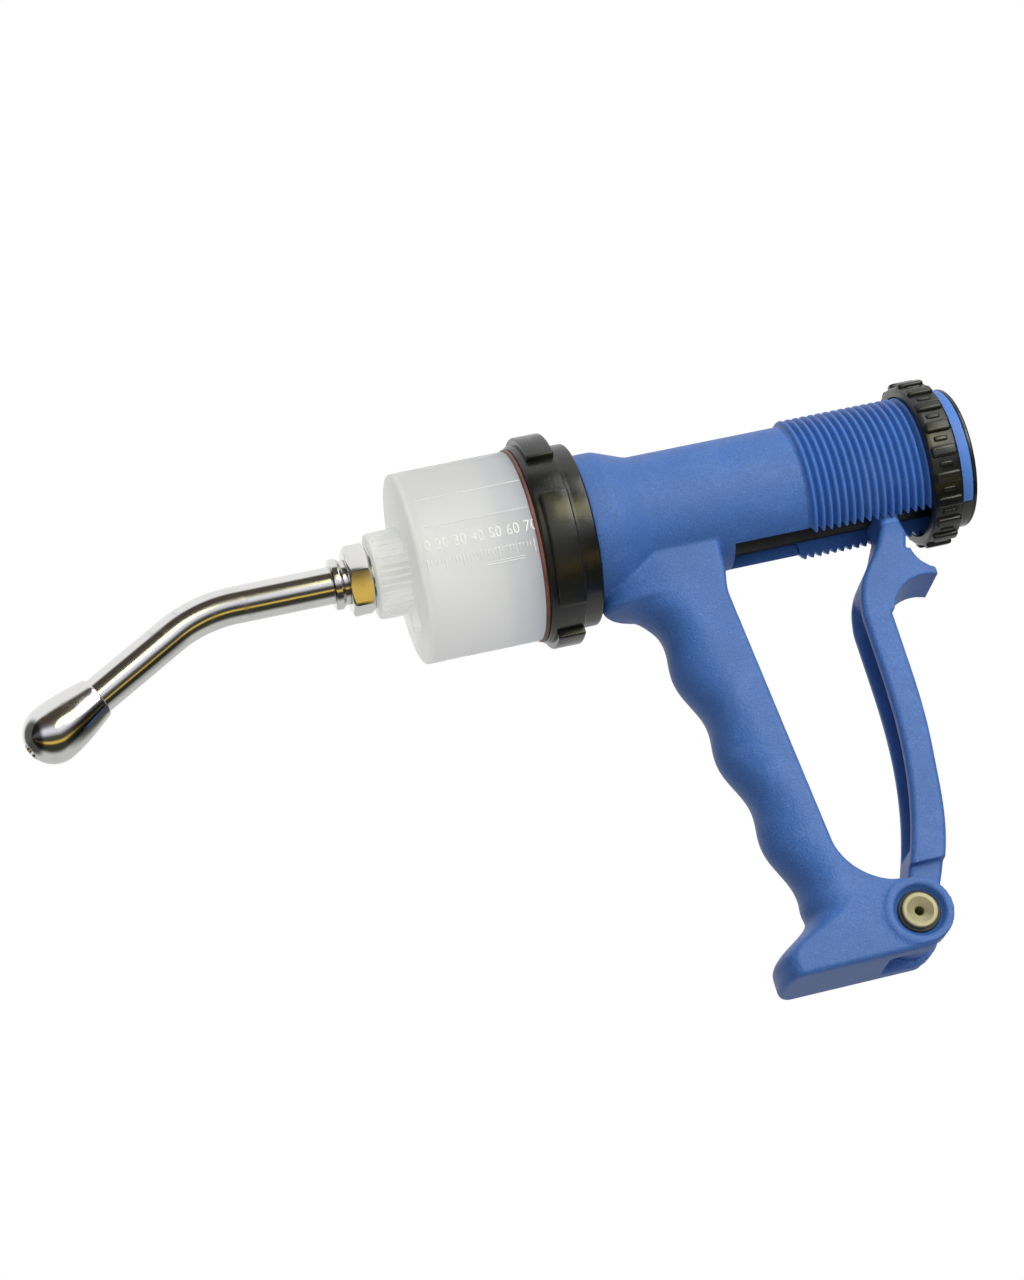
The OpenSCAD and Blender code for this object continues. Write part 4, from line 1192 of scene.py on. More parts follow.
class DRENCHER_OT_body(bpy.types.Operator):
    """Builds the pistol body: boss, barrel, finger grip and foot, and the threaded rear of the barrel"""
    bl_idname = "drencher.body"
    bl_label = "Pistol body"

    def execute(self, context):
        size = sizes_mm(context.scene)
        self.grip(size)
        self.thread(size)
        return {"FINISHED"}

    def grip(self, size):
        front_round, blend, overlap = 0.8, 6.0, 0.5
        outline = rounded([
            (BODY_FRONT, 0, 0), (BODY_FRONT, BOSS_R, front_round), (BOSS_SLOPE, BOSS_R, blend),
            (BOSS_NECK, BARREL_R, blend), (THREAD_FRONT, BARREL_R, 0), (THREAD_FRONT, 0, 0)],
            closed=False, steps=6)
        barrel = lathe("barrel_form", outline, closed=False, steps=192)
        edge_step, grip_step, chin_step, fillet_steps = 0.2, 0.9, 0.3, 16
        depths = stretch_between(FOOT_DEPTH, FOOT_DEPTH - FOOT_EDGE, edge_step)
        depths += stretch_between(FOOT_DEPTH - FOOT_EDGE, CHIN_DEPTH + CHIN_FILLET, grip_step)[1:]
        depths += [CHIN_DEPTH + CHIN_FILLET * (1 - i / fillet_steps) ** 2 for i in range(1, fillet_steps)]
        depths += stretch_between(CHIN_DEPTH, CHIN_DEPTH - CHIN_R, chin_step)
        depths.append(BORE_R - overlap)
        grip = loft("grip_form", [grip_section(d, size["grip_w"], size["foot_w"]) for d in depths])
        inner = CLEVIS_HALF - overlap
        cheeks = [round_bar("cheek_form", PIVOT_X, -PIVOT_DEPTH, CHEEK_R, y0, y1)
                  for y0, y1 in ((inner, CHEEK_FACE), (-CHEEK_FACE, -inner))]
        carve(barrel, [grip, *cheeks], "UNION")
        carve(barrel, self.cutters(size["foot_w"]))
        melt(barrel, "pistol_body_grip", size["body_grid"], passes=5)
        low, high = (SLOT_FRONT, -SLOT_HALF, -2 * BARREL_R), (2 * THREAD_FRONT, SLOT_HALF, 0)
        carve(barrel, [block("slot_cut", low, high)])
        fit(barrel, "blue", "body", "blue_plastic", "pistol_body", degrees=60)

    def cutters(self, beyond):
        rear = THREAD_FRONT + beyond
        ahead, hole_r = BODY_FRONT - OVER, COLLAR_BOSS_R + EDGE
        bore = [(ahead, 0), (ahead, hole_r), (BORE_FRONT, hole_r), (BORE_FRONT, BORE_R),
                (rear, BORE_R), (rear, 0)]
        floor, outside = CHEEK_FACE - PIN_RECESS, CHEEK_FACE + PIN_RECESS
        outside_r = 2 * RECESS_FACE_R - RECESS_FLOOR_R
        cuts = [lathe("bore_cut", bore, closed=False),
                block("clevis_cut", (CLEVIS_FRONT, -CLEVIS_HALF, -FOOT_DEPTH - beyond),
                      (PIVOT_X + beyond, CLEVIS_HALF, -CLEVIS_TOP)),
                round_bar("pin_cut", PIVOT_X, -PIVOT_DEPTH, PIN_R + GAP, -beyond, beyond)]
        for side in (-1, 1):
            cuts.append(round_bar("recess_cut", PIVOT_X, -PIVOT_DEPTH, RECESS_FLOOR_R, side * floor,
                                  side * outside, outside_r))
        return cuts

    def thread(self, size):
        pitch, height = size["thread_pitch"], size["thread_h"]
        front, crest = THREAD_FRONT - EDGE, BARREL_R + height
        turns = math.floor((RING_REAR - THREAD_FRONT) / pitch)
        steps, fullness, tuck, lip = 10, 0.8, 0.15, 1.0
        ridge = [(THREAD_FRONT + pitch * k / steps,
                  BARREL_R + height * (0.5 - 0.5 * math.cos(2 * math.pi * k / steps)) ** fullness)
                 for k in range(turns * steps + 1)]
        rim = rounded([(RING_REAR, BARREL_R, 0), (RING_REAR, crest, FINE), (BODY_REAR, crest, EDGE),
                       (BODY_REAR, BORE_R, FINE), (BODY_REAR - lip, BORE_R, 0)], closed=False, steps=3)
        outline = [(front, BORE_R), (front, BARREL_R - tuck), *ridge, *rim]
        barrel = lathe("barrel_thread", outline, steps=192)
        low, high = (front - OVER, -SLOT_HALF, -crest - OVER), (BODY_REAR + OVER, SLOT_HALF, 0)
        carve(barrel, [block("slot_cut", low, high)])
        fit(barrel, "blue", "body", "blue_plastic", "pistol_body", degrees=38)


class DRENCHER_OT_lever(bpy.types.Operator):
    """Builds the squeeze lever with its nose, thumb spur, front channel and pivot eye"""
    bl_idname = "drencher.lever"
    bl_label = "Squeeze lever"

    def execute(self, context):
        size = sizes_mm(context.scene)
        thick, half_w = size["lever_t"], size["lever_w"] / 2
        nose_half = half_w - NOSE_INSET
        step = 0.8
        depths = stretch_between(SHOULDER, NECK_DEPTH + NECK_FLARE, step)
        sections = [lever_section(d, half_w, thick) for d in depths]
        sections += [lever_section(d, nose_half, thick) for d in (NECK_DEPTH, -NOSE_Z)]
        bar = loft("lever_bar", sections)
        depths = stretch_between(PIVOT_DEPTH - EYE_R / 2, SHOULDER - LEVER_STEP, step)
        tang = loft("lever_tang", [lever_section(d, TANG_HALF, thick, TANG_INSET) for d in depths])
        eye = round_bar("lever_eye", PIVOT_X, -PIVOT_DEPTH, EYE_R, -TANG_HALF, TANG_HALF)
        nose = round_bar("lever_nose", NOSE_X, NOSE_Z, NOSE_R, -nose_half, nose_half)
        carve(bar, [tang, eye, nose, self.spur(half_w)], "UNION")
        depths = stretch_between(SHOULDER - LEVER_STEP, CHANNEL_TOP, step)
        channel = loft("lever_channel", [channel_section(d, size) for d in depths])
        carve(bar, [channel, round_bar("eye_cut", PIVOT_X, -PIVOT_DEPTH, PIN_R + GAP, -half_w, half_w)])
        melt(bar, "squeeze_lever_skin", size["lever_grid"], passes=6)
        fit(bar, "blue", "lever", "blue_plastic", "squeeze_lever", degrees=60)
        return {"FINISHED"}

    def spur(self, half_w):
        """Thumb spur: a blade between two hollows."""
        side = half_w - SPUR_INSET
        outline = [(lever_middle(-BLANK_UNDER), BLANK_UNDER), (SPUR_TIP, BLANK_UNDER),
                   (SPUR_TIP, BLANK_TOP), (lever_middle(-BLANK_TOP), BLANK_TOP)]
        spur = loft("lever_spur", [[(x, y, z) for x, z in outline] for y in (-side, side)])
        hollows = (("hollow_above", SPUR_TOP, SPUR_TOP_R), ("hollow_under", SPUR_UNDER, SPUR_UNDER_R))
        return carve(spur, [round_bar(name, *centre, r, -2 * side, 2 * side, steps=128)
                            for name, centre, r in hollows])


class DRENCHER_OT_pivot(bpy.types.Operator):
    """Builds the hollow pivot pin and the seals under its heads"""
    bl_idname = "drencher.pivot"
    bl_label = "Pivot"

    def execute(self, context):
        across = Matrix.Rotation(math.pi / 2, 4, "Z")
        place = Matrix.Translation((PIVOT_X * MM, 0, -PIVOT_DEPTH * MM)) @ across
        head_t, head_r, hole_r, sink_r, seal_t = 1.2, 4.9, 1.3, 3.7, 0.9
        floor = CHEEK_FACE - PIN_RECESS
        under = floor + seal_t
        face = under + head_t
        half = [(under, PIN_R, 0), (under, head_r, FINE), (face, head_r, EDGE), (face, sink_r, FINE),
                (face - head_t, hole_r, FINE)]
        outline = rounded([(-x, r, fillet) for x, r, fillet in half] + half[::-1])
        pin = lathe("pivot_pin_turned", outline, steps=96, place=place)
        fit(pin, "pin", "body", "pin_steel", "pivot_pin")
        seal_r = RECESS_FLOOR_R - CLEAR
        for side, word in ((-1, "left"), (1, "right")):
            near, far = side * floor, side * under
            ring = rounded([(near, PIN_R + GAP, FINE), (near, seal_r, EDGE), (far, seal_r, EDGE),
                            (far, PIN_R + GAP, FINE)], steps=5)
            fit(lathe("pivot_seal_" + word, ring, steps=96, place=place), "rubber", "body", "black_rubber",
                "pivot_seals")
        return {"FINISHED"}


class DRENCHER_OT_dose_ring(bpy.types.Operator):
    """Builds the dose ring with its grip bars, and the rear cap"""
    bl_idname = "drencher.dose_ring"
    bl_label = "Dose ring and rear cap"

    def execute(self, context):
        size = sizes_mm(context.scene)
        crest = BARREL_R + size["thread_h"]
        self.ring(size, crest)
        self.cap(crest)
        return {"FINISHED"}

    def ring(self, size, crest):
        bore, wall, chamfer, face_round = crest + CLEAR, crest + 3.1, 1.6, 1.0
        outline = rounded([(RING_FRONT, bore, FINE), (RING_FRONT, wall - FINE, face_round),
                           (RING_FRONT + chamfer, wall, EDGE), (RING_REAR - chamfer, wall, EDGE),
                           (RING_REAR, wall - FINE, face_round), (RING_REAR, bore, FINE)], steps=5)
        ring = lathe("dose_ring_turned", outline, steps=160)
        bars, root = size["ring_bars"], wall - 1.2
        for name, inset, height, arc, edge, turn in (("ring_bar", SOFT, 1.08, 8.0, 0.75, 0.0),
                                                     ("ring_bead", 2.4, 0.45, 4.2, 0.6, math.pi / bars)):
            piece = arc_bar(name, RING_FRONT + inset, RING_REAR - inset, root, wall + height, arc, edge)
            repeat(ring, "ring", piece, "black", Count=bars, Turn=turn)
        fit(ring, "black", "dose_ring", "black_plastic", "dose_ring", degrees=45)

    def cap(self, crest):
        plug, seat, overlap = BORE_R - GAP, BODY_REAR + REST / 2, 1.0
        outline = rounded([(CAP_FRONT, HOSE_WELL_R, FINE), (CAP_FRONT, plug, FINE), (seat, plug, 0),
                           (seat, crest, FINE), (RIM_REAR, crest, SOFT), (RIM_REAR, HOSE_WELL_R, SOFT)],
                          steps=5)
        cap = lathe("rear_cap_turned", outline, steps=160)
        front, rear, half, root = RING_REAR + CLEAR, RIM_REAR - CLEAR, SLOT_HALF - CLEAR, plug - overlap
        strip = rounded([(front, root, 0), (front, crest, EDGE), (rear, crest, EDGE), (rear, root, 0)])
        tongue = lathe("cap_tongue", strip, steps=160)
        low, high = (front - OVER, -half, -2 * crest), (rear + OVER, half, -half)
        carve(tongue, [block("tongue_cut", low, high)], "INTERSECT")
        gather(cap, tongue)
        fit(cap, "black", "body", "black_plastic", "rear_cap", degrees=38)


class DRENCHER_OT_plunger(bpy.types.Operator):
    """Builds the plunger sleeve, rod, piston and the three springs"""
    bl_idname = "drencher.plunger"
    bl_label = "Plunger and springs"

    def execute(self, context):
        size = sizes_mm(context.scene)
        self.sleeve(size)
        self.rod()
        self.piston()
        self.springs(size)
        return {"FINISHED"}

    def sleeve(self, size):
        radius, rod_fit = BORE_R - CLEAR, ROD_R + GAP
        sleeve = lathe("plunger_sleeve_turned", rounded([
            (SLEEVE_FRONT, SPRING_WELL_R, EDGE), (SLEEVE_FRONT, radius, SOFT), (SLEEVE_REAR, radius, SOFT),
            (SLEEVE_REAR, HOSE_WELL_R, EDGE), (HOSE_SEAT, HOSE_WELL_R, EDGE), (HOSE_SEAT, rod_fit, 0),
            (SPRING_SEAT, rod_fit, 0), (SPRING_SEAT, SPRING_WELL_R, EDGE)]))
        half_l, roof = 4.0, -6.7
        half_w = size["lever_w"] / 2 - NOSE_INSET + CLEAR
        low, high = (NOSE_X - half_l, -half_w, -2 * radius), (NOSE_X + half_l, half_w, roof)
        carve(sleeve, [block("nose_pocket", low, high)])
        fit(sleeve, "sleeve", "plunger", "black_plastic", "plunger_sleeve", degrees=38)

    def rod(self):
        barb_low, barb_l, lead_l, lead_h = SPIGOT_R - CLEAR, 0.5, 1.0, 0.6
        barbs = []
        for place in (ROD_REAR + 4.0, ROD_REAR + 8.0):
            barbs += [(place, SPIGOT_R, FINE), (place + barb_l, barb_low, FINE)]
        rod = lathe("plunger_rod_turned", rounded([
            (ROD_FRONT, INLET_CHAMBER_R, 0), (ROD_FRONT, ROD_R, FINE), (HOSE_SEAT, ROD_R, 0),
            (HOSE_SEAT, ROD_HEAD_R, EDGE), (ROD_REAR, ROD_HEAD_R, EDGE), (ROD_REAR, SPIGOT_R, FINE), *barbs,
            (SPIGOT_END - lead_l, SPIGOT_R, FINE), (SPIGOT_END, SPIGOT_R - lead_h, FINE),
            (SPIGOT_END, ROD_BORE_R, FINE), (INLET_SEAT, ROD_BORE_R, 0),
            (INLET_SEAT, INLET_CHAMBER_R, 0)]), steps=96)
        fit(rod, "sleeve", "plunger", "black_plastic", "plunger_rod", degrees=38)

    def piston(self):
        middle, port = (PISTON_FRONT + PISTON_REAR) / 2, ROD_BORE_R - 0.6
        radius, groove_r, groove = CYLINDER_BORE_R - CLEAR, CYLINDER_BORE_R - 2.5, 1.25
        piston = lathe("piston_turned", rounded([
            (PISTON_FRONT, port, FINE), (PISTON_FRONT, radius, SOFT), (middle - groove, radius, FINE),
            (middle - groove, groove_r, FINE), (middle + groove, groove_r, FINE),
            (middle + groove, radius, FINE), (PISTON_REAR, radius, SOFT), (PISTON_REAR, ROD_R + GAP, FINE),
            (ROD_FRONT, ROD_R + GAP, 0), (ROD_FRONT, port, 0)]))
        fit(piston, "black", "plunger", "black_plastic", "piston", degrees=38)
        wire_r, mean_r, wire_steps = 1.175, CYLINDER_BORE_R - 1.275, 20
        section = arc_points(middle, mean_r, wire_r, 0, 2 * math.pi, wire_steps)[:-1]
        seal = lathe("piston_o_ring_turned", section)
        fit(seal, "rubber", "plunger", "black_rubber", "piston_o_ring", degrees=60)

    def springs(self, size):
        """Coils: node, body, joint, still end, other end, mean radius, wire, turns and share kept."""
        wire, fine_wire, disc_t, turn_steps, sides = size["spring_wire"], 0.5, 1.4, 36, 12
        coils = (("return_spring", "body", "plunger_slide",
                  BORE_FRONT, SPRING_SEAT - GAP, 8.5, wire, size["spring_turns"], 0.487),
                 ("inlet_valve_spring", "plunger", "inlet_valve_lift",
                  ROD_FRONT, INLET_SEAT - disc_t, 2.7, fine_wire, 6, 0.88),
                 ("outlet_valve_spring", "body", "outlet_valve_lift",
                  OUTLET_STOP, OUTLET_SHELF - disc_t, 3.4, fine_wire, 4, 0.74))
        for node, body, joint, anchor, end, mean_r, thick, turns, keep in coils:
            start = anchor + GAP
            run = end - start - thick
            parts = turns * turn_steps
            path = []
            for k in range(parts + 1):
                a = 2 * math.pi * turns * k / parts
                place = start + thick / 2 + run * k / parts
                path.append((place, mean_r * math.cos(a), mean_r * math.sin(a)))
            coil = swept(node + "_coil", path, thick / 2, sides, "spring")
            fit(coil, "spring", body, "spring_steel", node, degrees=60)
            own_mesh(coil)


class DRENCHER_OT_union(bpy.types.Operator):
    """Builds the union nut with its lugs, the narrow collar behind it and the flat seal"""
    bl_idname = "drencher.union"
    bl_label = "Union"

    def execute(self, context):
        size = sizes_mm(context.scene)
        bore = UNION_BORE_R + GAP
        self.nut(size, bore)
        self.collar()
        seal = lathe("cylinder_seal_turned", rounded([
            (SEAL_FRONT, bore, FINE), (SEAL_FRONT, SEAL_R, EDGE), (NUT_FRONT, SEAL_R, EDGE),
            (NUT_FRONT, bore, FINE)]), steps=160)
        fit(seal, "brown", "body", "brown_rubber", "cylinder_seal", degrees=38)
        return {"FINISHED"}

    def nut(self, size, bore):
        face_round, band, overlap, lug_arc, lug_edge = 0.9, 2.0, 0.6, 65, 0.55
        nut = lathe("union_nut_turned", rounded([
            (NUT_FRONT, bore, FINE), (NUT_FRONT, NUT_R, face_round), (COLLAR_FRONT, NUT_R, EDGE),
            (COLLAR_FRONT, bore, FINE)], steps=5), steps=160)
        lug = arc_bar("union_lug", NUT_FRONT + band, COLLAR_FRONT - REST, NUT_R - overlap, LUG_R, lug_arc,
                      lug_edge, steps=40)
        repeat(nut, "ring", lug, "black", Count=size["union_lugs"], Turn=LUG_TURN)
        fit(nut, "black", "body", "black_plastic", "union_nut", degrees=45)

    def collar(self):
        reach_r, rear, step_round, rim_round = UNION_BORE_R - GAP, BODY_FRONT - REST, 0.05, 0.8
        rod_r, well = ROD_R + CLEAR, COLLAR_FRONT + CLEAR
        collar = lathe("union_collar_turned", rounded([
            (CYLINDER_REAR, CYLINDER_BORE_R, 0), (CYLINDER_REAR, reach_r, FINE),
            (COLLAR_STEP, reach_r, step_round), (COLLAR_STEP, COLLAR_R, 0), (rear, COLLAR_R, rim_round),
            (rear, COLLAR_BOSS_R, 0), (BORE_FRONT, COLLAR_BOSS_R, FINE), (BORE_FRONT, GLAND_R, 0),
            (BODY_FRONT, GLAND_R, 0), (BODY_FRONT, rod_r, 0), (well, rod_r, 0),
            (well, CYLINDER_BORE_R, 0)]), steps=160)
        fit(collar, "black", "body", "black_plastic", "union_collar", degrees=38)


# Graduations of the dose cylinder: first numeral's place in millimetres, and counts to a numeral
FIRST_MARK = -66.8
NUMERALS = 7
MILLILITRES_A_STEP = 10
TICKS_A_STEP = 5


class DRENCHER_OT_cylinder(bpy.types.Operator):
    """Builds the graduated dose cylinder with its ridged hub, numerals and ticks"""
    bl_idname = "drencher.cylinder"
    bl_label = "Dose cylinder"

    def execute(self, context):
        size = sizes_mm(context.scene)
        radius, hub_r = size["cylinder_d"] / 2, size["hub_d"] / 2
        hub_round, face_round, inner_round, port_round = 0.8, 1.2, 1.0, 0.1
        cylinder = lathe("dose_cylinder_turned", rounded([
            (HUB_FRONT, TUBE_SEAT_R, FINE), (HUB_FRONT, hub_r, EDGE), (CYLINDER_FRONT, hub_r, hub_round),
            (CYLINDER_FRONT, radius, face_round), (SEAL_FRONT, radius, FINE), (SEAL_FRONT, UNION_BORE_R, 0),
            (CYLINDER_REAR, UNION_BORE_R, FINE), (CYLINDER_REAR, CYLINDER_BORE_R, FINE),
            (CYLINDER_INNER, CYLINDER_BORE_R, inner_round), (CYLINDER_INNER, OUTLET_R, FINE),
            (OUTLET_SHELF, OUTLET_R, port_round), (OUTLET_SHELF, VALVE_CHAMBER_R, 0),
            (OUTLET_STOP, VALVE_CHAMBER_R, 0), (OUTLET_STOP, TUBE_SEAT_R, 0)], steps=6), steps=192)
        bare, overlap, proud, ridge_arc, ridge_edge = 1.0, 0.4, 0.28, 3.8, 0.14
        ridge = arc_bar("hub_ridge", HUB_FRONT + bare, CYLINDER_FRONT + FINE, hub_r - overlap,
                        hub_r + proud, ridge_arc, ridge_edge, steps=2)
        repeat(cylinder, "ring", ridge, "frosted", Count=size["hub_ridges"], Turn=0.0)
        gather(cylinder, self.hub_rib(hub_r))
        fit(cylinder, "frosted", "body", "frosted_plastic", "dose_cylinder", degrees=38)
        self.numerals(size, radius)
        self.ticks(size, radius)
        return {"FINISHED"}

    def hub_rib(self, hub_r):
        """Small rib below the hub, against the cylinder's front."""
        long, half_w, tall, corner, sink, overlap = 2.2, 1.6, 6.5, 0.5, 0.3, 1.0
        front, rear = CYLINDER_FRONT - long, CYLINDER_FRONT + sink
        outline = rounded([(front, -half_w, corner), (rear, -half_w, 0), (rear, half_w, 0),
                           (front, half_w, corner)])
        ends = (-hub_r - tall, -hub_r + overlap)
        return loft("hub_rib", [[(x, y, z) for x, y in outline] for z in ends])

    def numerals(self, size, radius):
        """Numerals moulded proud of the wall on the near side."""
        sink, row, slim, cap_h, half_depth = 0.08, math.radians(-13.0), 0.86, 0.7, 0.5
        scale = size["numeral_h"] / cap_h
        shape = bmesh.new()
        for i in range(NUMERALS):
            words = bpy.data.curves.new("numeral", "FONT")
            words.body = str(MILLILITRES_A_STEP * (i + 1))
            words.align_x = "CENTER"
            words.align_y = "CENTER"
            words.extrude = half_depth
            words.resolution_u = 3
            text = link_mesh("numeral", words)
            graph = bpy.context.evaluated_depsgraph_get()
            mesh = bpy.data.meshes.new_from_object(text.evaluated_get(graph))
            bpy.data.objects.remove(text)
            bpy.data.curves.remove(words)
            middle = FIRST_MARK + size["numeral_step"] * i
            for v in mesh.vertices:
                along, up, out = v.co
                angle = row + up * scale / radius
                r = radius - sink + (out + half_depth) * (size["relief"] + sink)
                place = (middle + along * scale * slim, -r * math.cos(angle), r * math.sin(angle))
                v.co = Vector(place) * MM
            shape.from_mesh(mesh)
            bpy.data.meshes.remove(mesh)
        mesh = bpy.data.meshes.new("cylinder_numerals")
        shape.to_mesh(mesh)
        shape.free()
        fit(link_mesh("cylinder_numerals", mesh), "marks", "body", "frosted_plastic", degrees=40)

    def rib(self, name, size, radius, x0, x1, middle, degrees):
        """Low rib on the cylinder's wall, centred at an angle up from the near side."""
        sink, height, edge = 0.1, 0.8 * size["relief"], 0.6 * size["relief"]
        bar = arc_bar(name, x0, x1, radius - sink, radius + height, degrees, edge, steps=3)
        bar.data.transform(Matrix.Rotation(math.radians(90 - middle), 4, "X"))
        return bar

    def ticks(self, size, radius):
        """Ticks below the numerals, a lead tick before them, and pale raised lines along the wall that are
        painted highlight lines.
        """
        step, thin, thick, lead_middle, lead_arc = size["numeral_step"], 0.12, 0.15, -24.0, 6.0
        start = FIRST_MARK - step / 2
        ticks = self.rib("cylinder_ticks", size, radius, start - thin, start + thin, lead_middle, lead_arc)
        shorts = (NUMERALS - 1) * TICKS_A_STEP + 1
        for half_w, middle, arc, number, pitch in ((thin, -23.0, 3.5, shorts, step / TICKS_A_STEP),
                                                   (thick, -24.5, 7.5, NUMERALS, step)):
            tick = self.rib("tick", size, radius, FIRST_MARK - half_w, FIRST_MARK + half_w, middle, arc)
            repeat(ticks, "row", tick, "marks", Count=number, Pitch=pitch * MM)
        # Painted highlight lines, raised and in the mark colour, where highlights run along the wall: their
        # two ends along the barrel, degrees up from the near side, degrees wide
        front, rear, window = CYLINDER_FRONT + 3.0, SEAL_FRONT - CLEAR, (-51.0, -40.0)
        lines = ((front, rear, 17.4, 0.5), (front + 1.0, rear, -1.6, 0.5),
                 (*window, -29.2, 0.45), (*window, -30.6, 0.45), (*window, -22.0, 0.4))
        gather(ticks, *(self.rib("mould_line", size, radius, *line) for line in lines))
        fit(ticks, "marks", "body", "frosted_plastic", degrees=40)


class DRENCHER_OT_nozzle(bpy.types.Operator):
    """Builds the plated nozzle: washer, hexagon nut, ferrule, bent tube and olive tip"""
    bl_idname = "drencher.nozzle"
    bl_label = "Nozzle"

    def execute(self, context):
        size = sizes_mm(context.scene)
        tube_r = size["tube_d"] / 2
        washer_r, hole_edge = 9.0, 0.1
        washer = rounded([(WASHER_FRONT, TUBE_SEAT_R, hole_edge), (WASHER_FRONT, washer_r, FINE),
                          (HUB_FRONT, washer_r, FINE), (HUB_FRONT, TUBE_SEAT_R, hole_edge)])
        fit(lathe("nozzle_washer_turned", washer), "chrome", "body", "plated_brass", "nozzle_washer")
        self.nut()
        self.ferrule(tube_r + GAP)
        self.tube(tube_r)
        self.tip(size["tip_d"] / 2, tube_r)
        return {"FINISHED"}

    def nut(self):
        flat, bevel, turn, spare = 9.0, 1.0, math.radians(-8), 0.1
        corner = flat / math.cos(math.pi / 6)
        hexagon = [(-corner * math.cos(turn + a), corner * math.sin(turn + a)) for a in circle_angles(6)]
        ends = (HEX_FRONT, WASHER_FRONT)
        nut = loft("nozzle_nut_hexagon", [[(x, y, z) for y, z in hexagon] for x in ends])
        face_r, crown_r = flat - FINE, corner + spare
        crown = [(HEX_FRONT, 0), (HEX_FRONT, face_r), (HEX_FRONT + bevel, crown_r),
                 (WASHER_FRONT - bevel, crown_r), (WASHER_FRONT, face_r), (WASHER_FRONT, 0)]
        carve(nut, [lathe("nut_crown", crown, closed=False, steps=192)], "INTERSECT")
        front, rear = HEX_FRONT - 2 * OVER, WASHER_FRONT + 2 * OVER
        bore = [(front, 0), (front, TUBE_SEAT_R), (rear, TUBE_SEAT_R), (rear, 0)]
        carve(nut, [lathe("nut_bore", bore, closed=False, steps=96)])
        face_outwards(nut)
        edge = nut.modifiers.new("edge", "BEVEL")
        edge.width = FINE * MM
        edge.segments = 2
        edge.limit_method = "ANGLE"
        edge.angle_limit = math.radians(25)
        settle(nut)
        fit(nut, "chrome", "body", "plated_brass", "nozzle_nut", degrees=25)

    def ferrule(self, bore):
        lip_r, band_r, neck_r, face = 6.9, 7.3, 6.4, FERRULE_FRONT
        lip_l, band_end, neck_start, corner, hole_edge = 0.6, 2.25, 3.15, 0.5, 0.1
        ferrule = lathe("nozzle_ferrule_turned", rounded([
            (face, bore, hole_edge), (face, lip_r, corner), (face + lip_l, band_r, corner),
            (face + band_end, band_r, EDGE), (face + neck_start, neck_r, EDGE),
            (HEX_FRONT, neck_r, hole_edge), (HEX_FRONT, bore, 0)], steps=5))
        fit(ferrule, "chrome", "body", "plated_brass", "nozzle_ferrule")

    def bend_end(self):
        return BEND_X - BEND_R * math.sin(BEND_ANGLE), BEND_R * (math.cos(BEND_ANGLE) - 1)

    def tube(self, radius):
        steps, piece, sides, rear_gap, tip_gap = 24, 6, 96, 0.1, 0.15
        path = [(x, 0, 0) for x in stretch_between(OUTLET_STOP - rear_gap, BEND_X, piece)]
        for k in range(1, steps + 1):
            a = BEND_ANGLE * k / steps
            path.append((BEND_X - BEND_R * math.sin(a), 0, BEND_R * (math.cos(a) - 1)))
        x, z = self.bend_end()
        for s in stretch_between(0, TIP_START + TIP_SOCKET - tip_gap, piece)[1:]:
            path.append((x - math.cos(BEND_ANGLE) * s, 0, z - math.sin(BEND_ANGLE) * s))
        tube = swept("nozzle_tube_bent", path, radius, sides, "chrome")
        fit(tube, "chrome", "body", "plated_brass", "nozzle_tube", degrees=40)

    def tip(self, r, tube_r):
        """Olive tip: a lip round the tube, a swell and a round nose with the outlet hole."""
        start, end, lip_r = TIP_START, TIP_START + TIP_L, tube_r + 0.9
        socket, socket_r = start + TIP_SOCKET, tube_r + GAP
        swell_steps, swell_power, nose_steps = 14, 1.15, 20
        round_from = TIP_L - r * math.cos(math.asin(OUTLET_R / r))
        swell = [(start + round_from * t, lip_r + (r - lip_r) * math.sin(math.pi / 2 * t) ** swell_power)
                 for t in (k / swell_steps for k in range(1, swell_steps))]
        mouth = math.acos((OUTLET_R + CLEAR) / r)
        nose = [(start + x, y) for y, x in arc_points(0, round_from, r, 0, mouth, nose_steps)]
        lip = [(start + along, lip_r - below) for along, below in ((0.0, 0.3), (0.12, 0.1), (0.35, 0.0))]
        hole = [(end - inside, OUTLET_R + wider) for inside, wider in ((0.05, 0.08), (FINE, 0.0))]
        hole.append((socket, OUTLET_R))
        x, z = self.bend_end()
        place = Matrix.Translation((x * MM, 0, z * MM)) @ Matrix.Rotation(math.pi - BEND_ANGLE, 4, "Y")
        outline = [(socket, socket_r), (start, socket_r), *lip, *swell, *nose, *hole]
        tip = lathe("nozzle_tip_turned", outline, place=place)
        fit(tip, "chrome", "body", "plated_brass", "nozzle_tip", degrees=40)


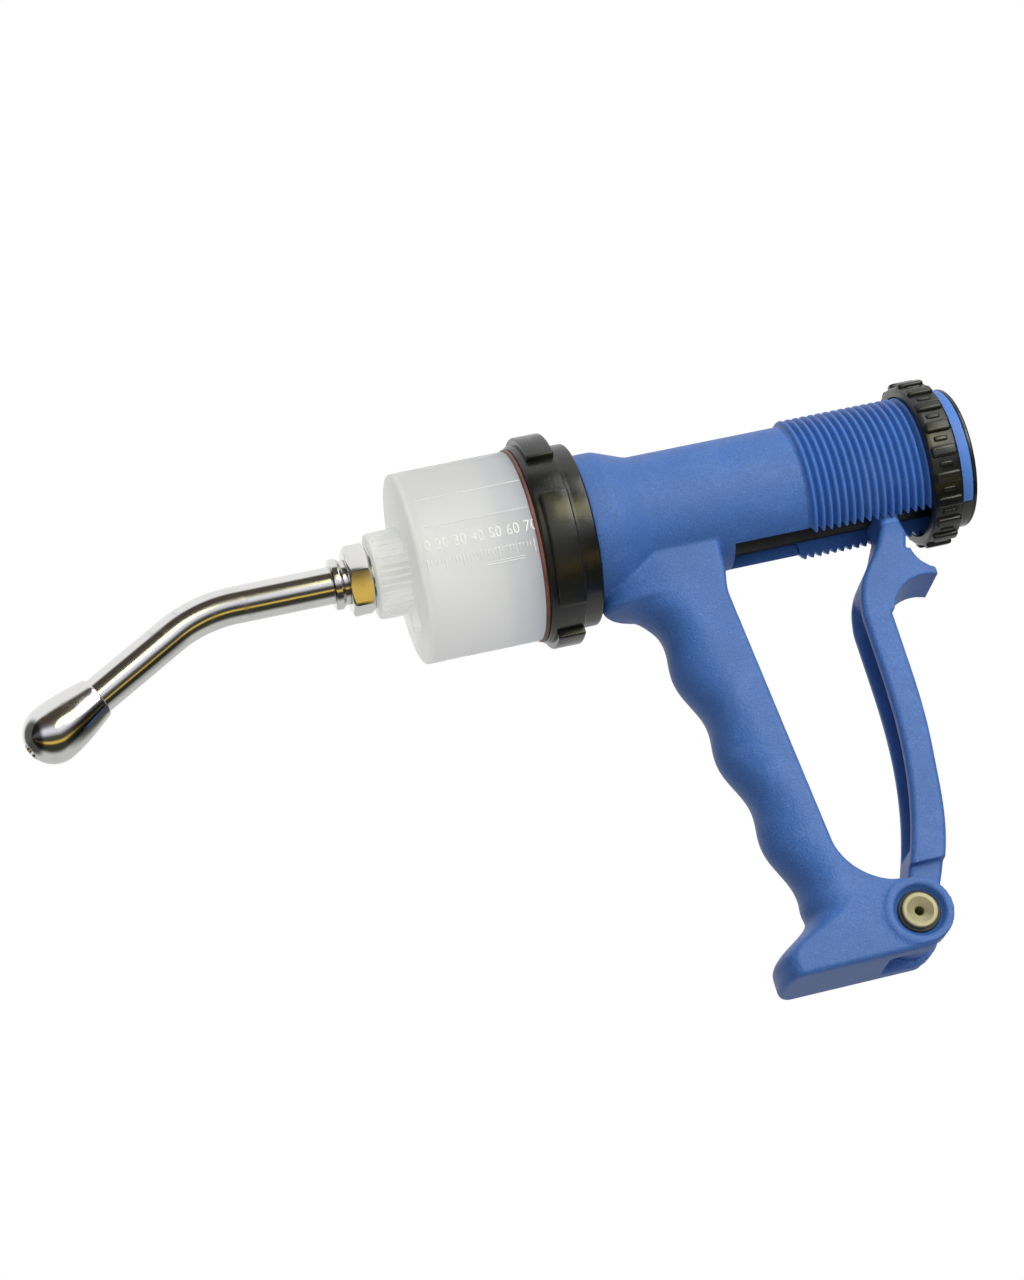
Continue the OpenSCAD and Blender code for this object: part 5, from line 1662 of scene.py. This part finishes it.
class DRENCHER_OT_inner_parts(bpy.types.Operator):
    """Gives the guide, seal and valve discs inside the drencher their finishes"""
    bl_idname = "drencher.inner_parts"
    bl_label = "Inner parts"

    def execute(self, context):
        for node, finish in (("rod_gland", "black"), ("rod_seal", "rubber"), ("inlet_valve", "valve"),
                             ("outlet_valve", "valve")):
            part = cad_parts[node]
            part.data.materials.clear()
            part.data.materials.append(finish_named(finish))
        return {"FINISHED"}


class DRENCHER_PT_panel(bpy.types.Panel):
    """Lists the drencher's pieces and their sizes and colours"""
    bl_idname = "DRENCHER_PT_panel"
    bl_label = "Livestock drencher"
    bl_space_type = "VIEW_3D"
    bl_region_type = "UI"
    bl_category = "Drencher"

    def draw(self, context):
        layout = self.layout
        for operator in OPERATORS:
            layout.operator(operator.bl_idname)
        for group in (context.scene.drencher_sizes, context.scene.drencher_colours):
            box = layout.box()
            for key in type(group).__annotations__:
                box.prop(group, key)


OPERATORS = (DRENCHER_OT_stage, DRENCHER_OT_body, DRENCHER_OT_lever, DRENCHER_OT_pivot,
             DRENCHER_OT_dose_ring, DRENCHER_OT_plunger, DRENCHER_OT_union, DRENCHER_OT_cylinder,
             DRENCHER_OT_nozzle, DRENCHER_OT_inner_parts)
CLASSES = (DrencherSizes, DrencherColours, *OPERATORS, DRENCHER_PT_panel)


def register():
    for cls in CLASSES:
        bpy.utils.register_class(cls)
    bpy.types.Scene.drencher_sizes = PointerProperty(type=DrencherSizes)
    bpy.types.Scene.drencher_colours = PointerProperty(type=DrencherColours)


def unregister():
    del bpy.types.Scene.drencher_colours
    del bpy.types.Scene.drencher_sizes
    for cls in reversed(CLASSES):
        bpy.utils.unregister_class(cls)


def main():
    register()
    bpy.ops.drencher.stage()
    bpy.ops.drencher.body()
    bpy.ops.drencher.lever()
    bpy.ops.drencher.pivot()
    bpy.ops.drencher.dose_ring()
    bpy.ops.drencher.plunger()
    bpy.ops.drencher.union()
    bpy.ops.drencher.cylinder()
    bpy.ops.drencher.nozzle()
    bpy.ops.drencher.inner_parts()


if __name__ == "__main__":
    main()
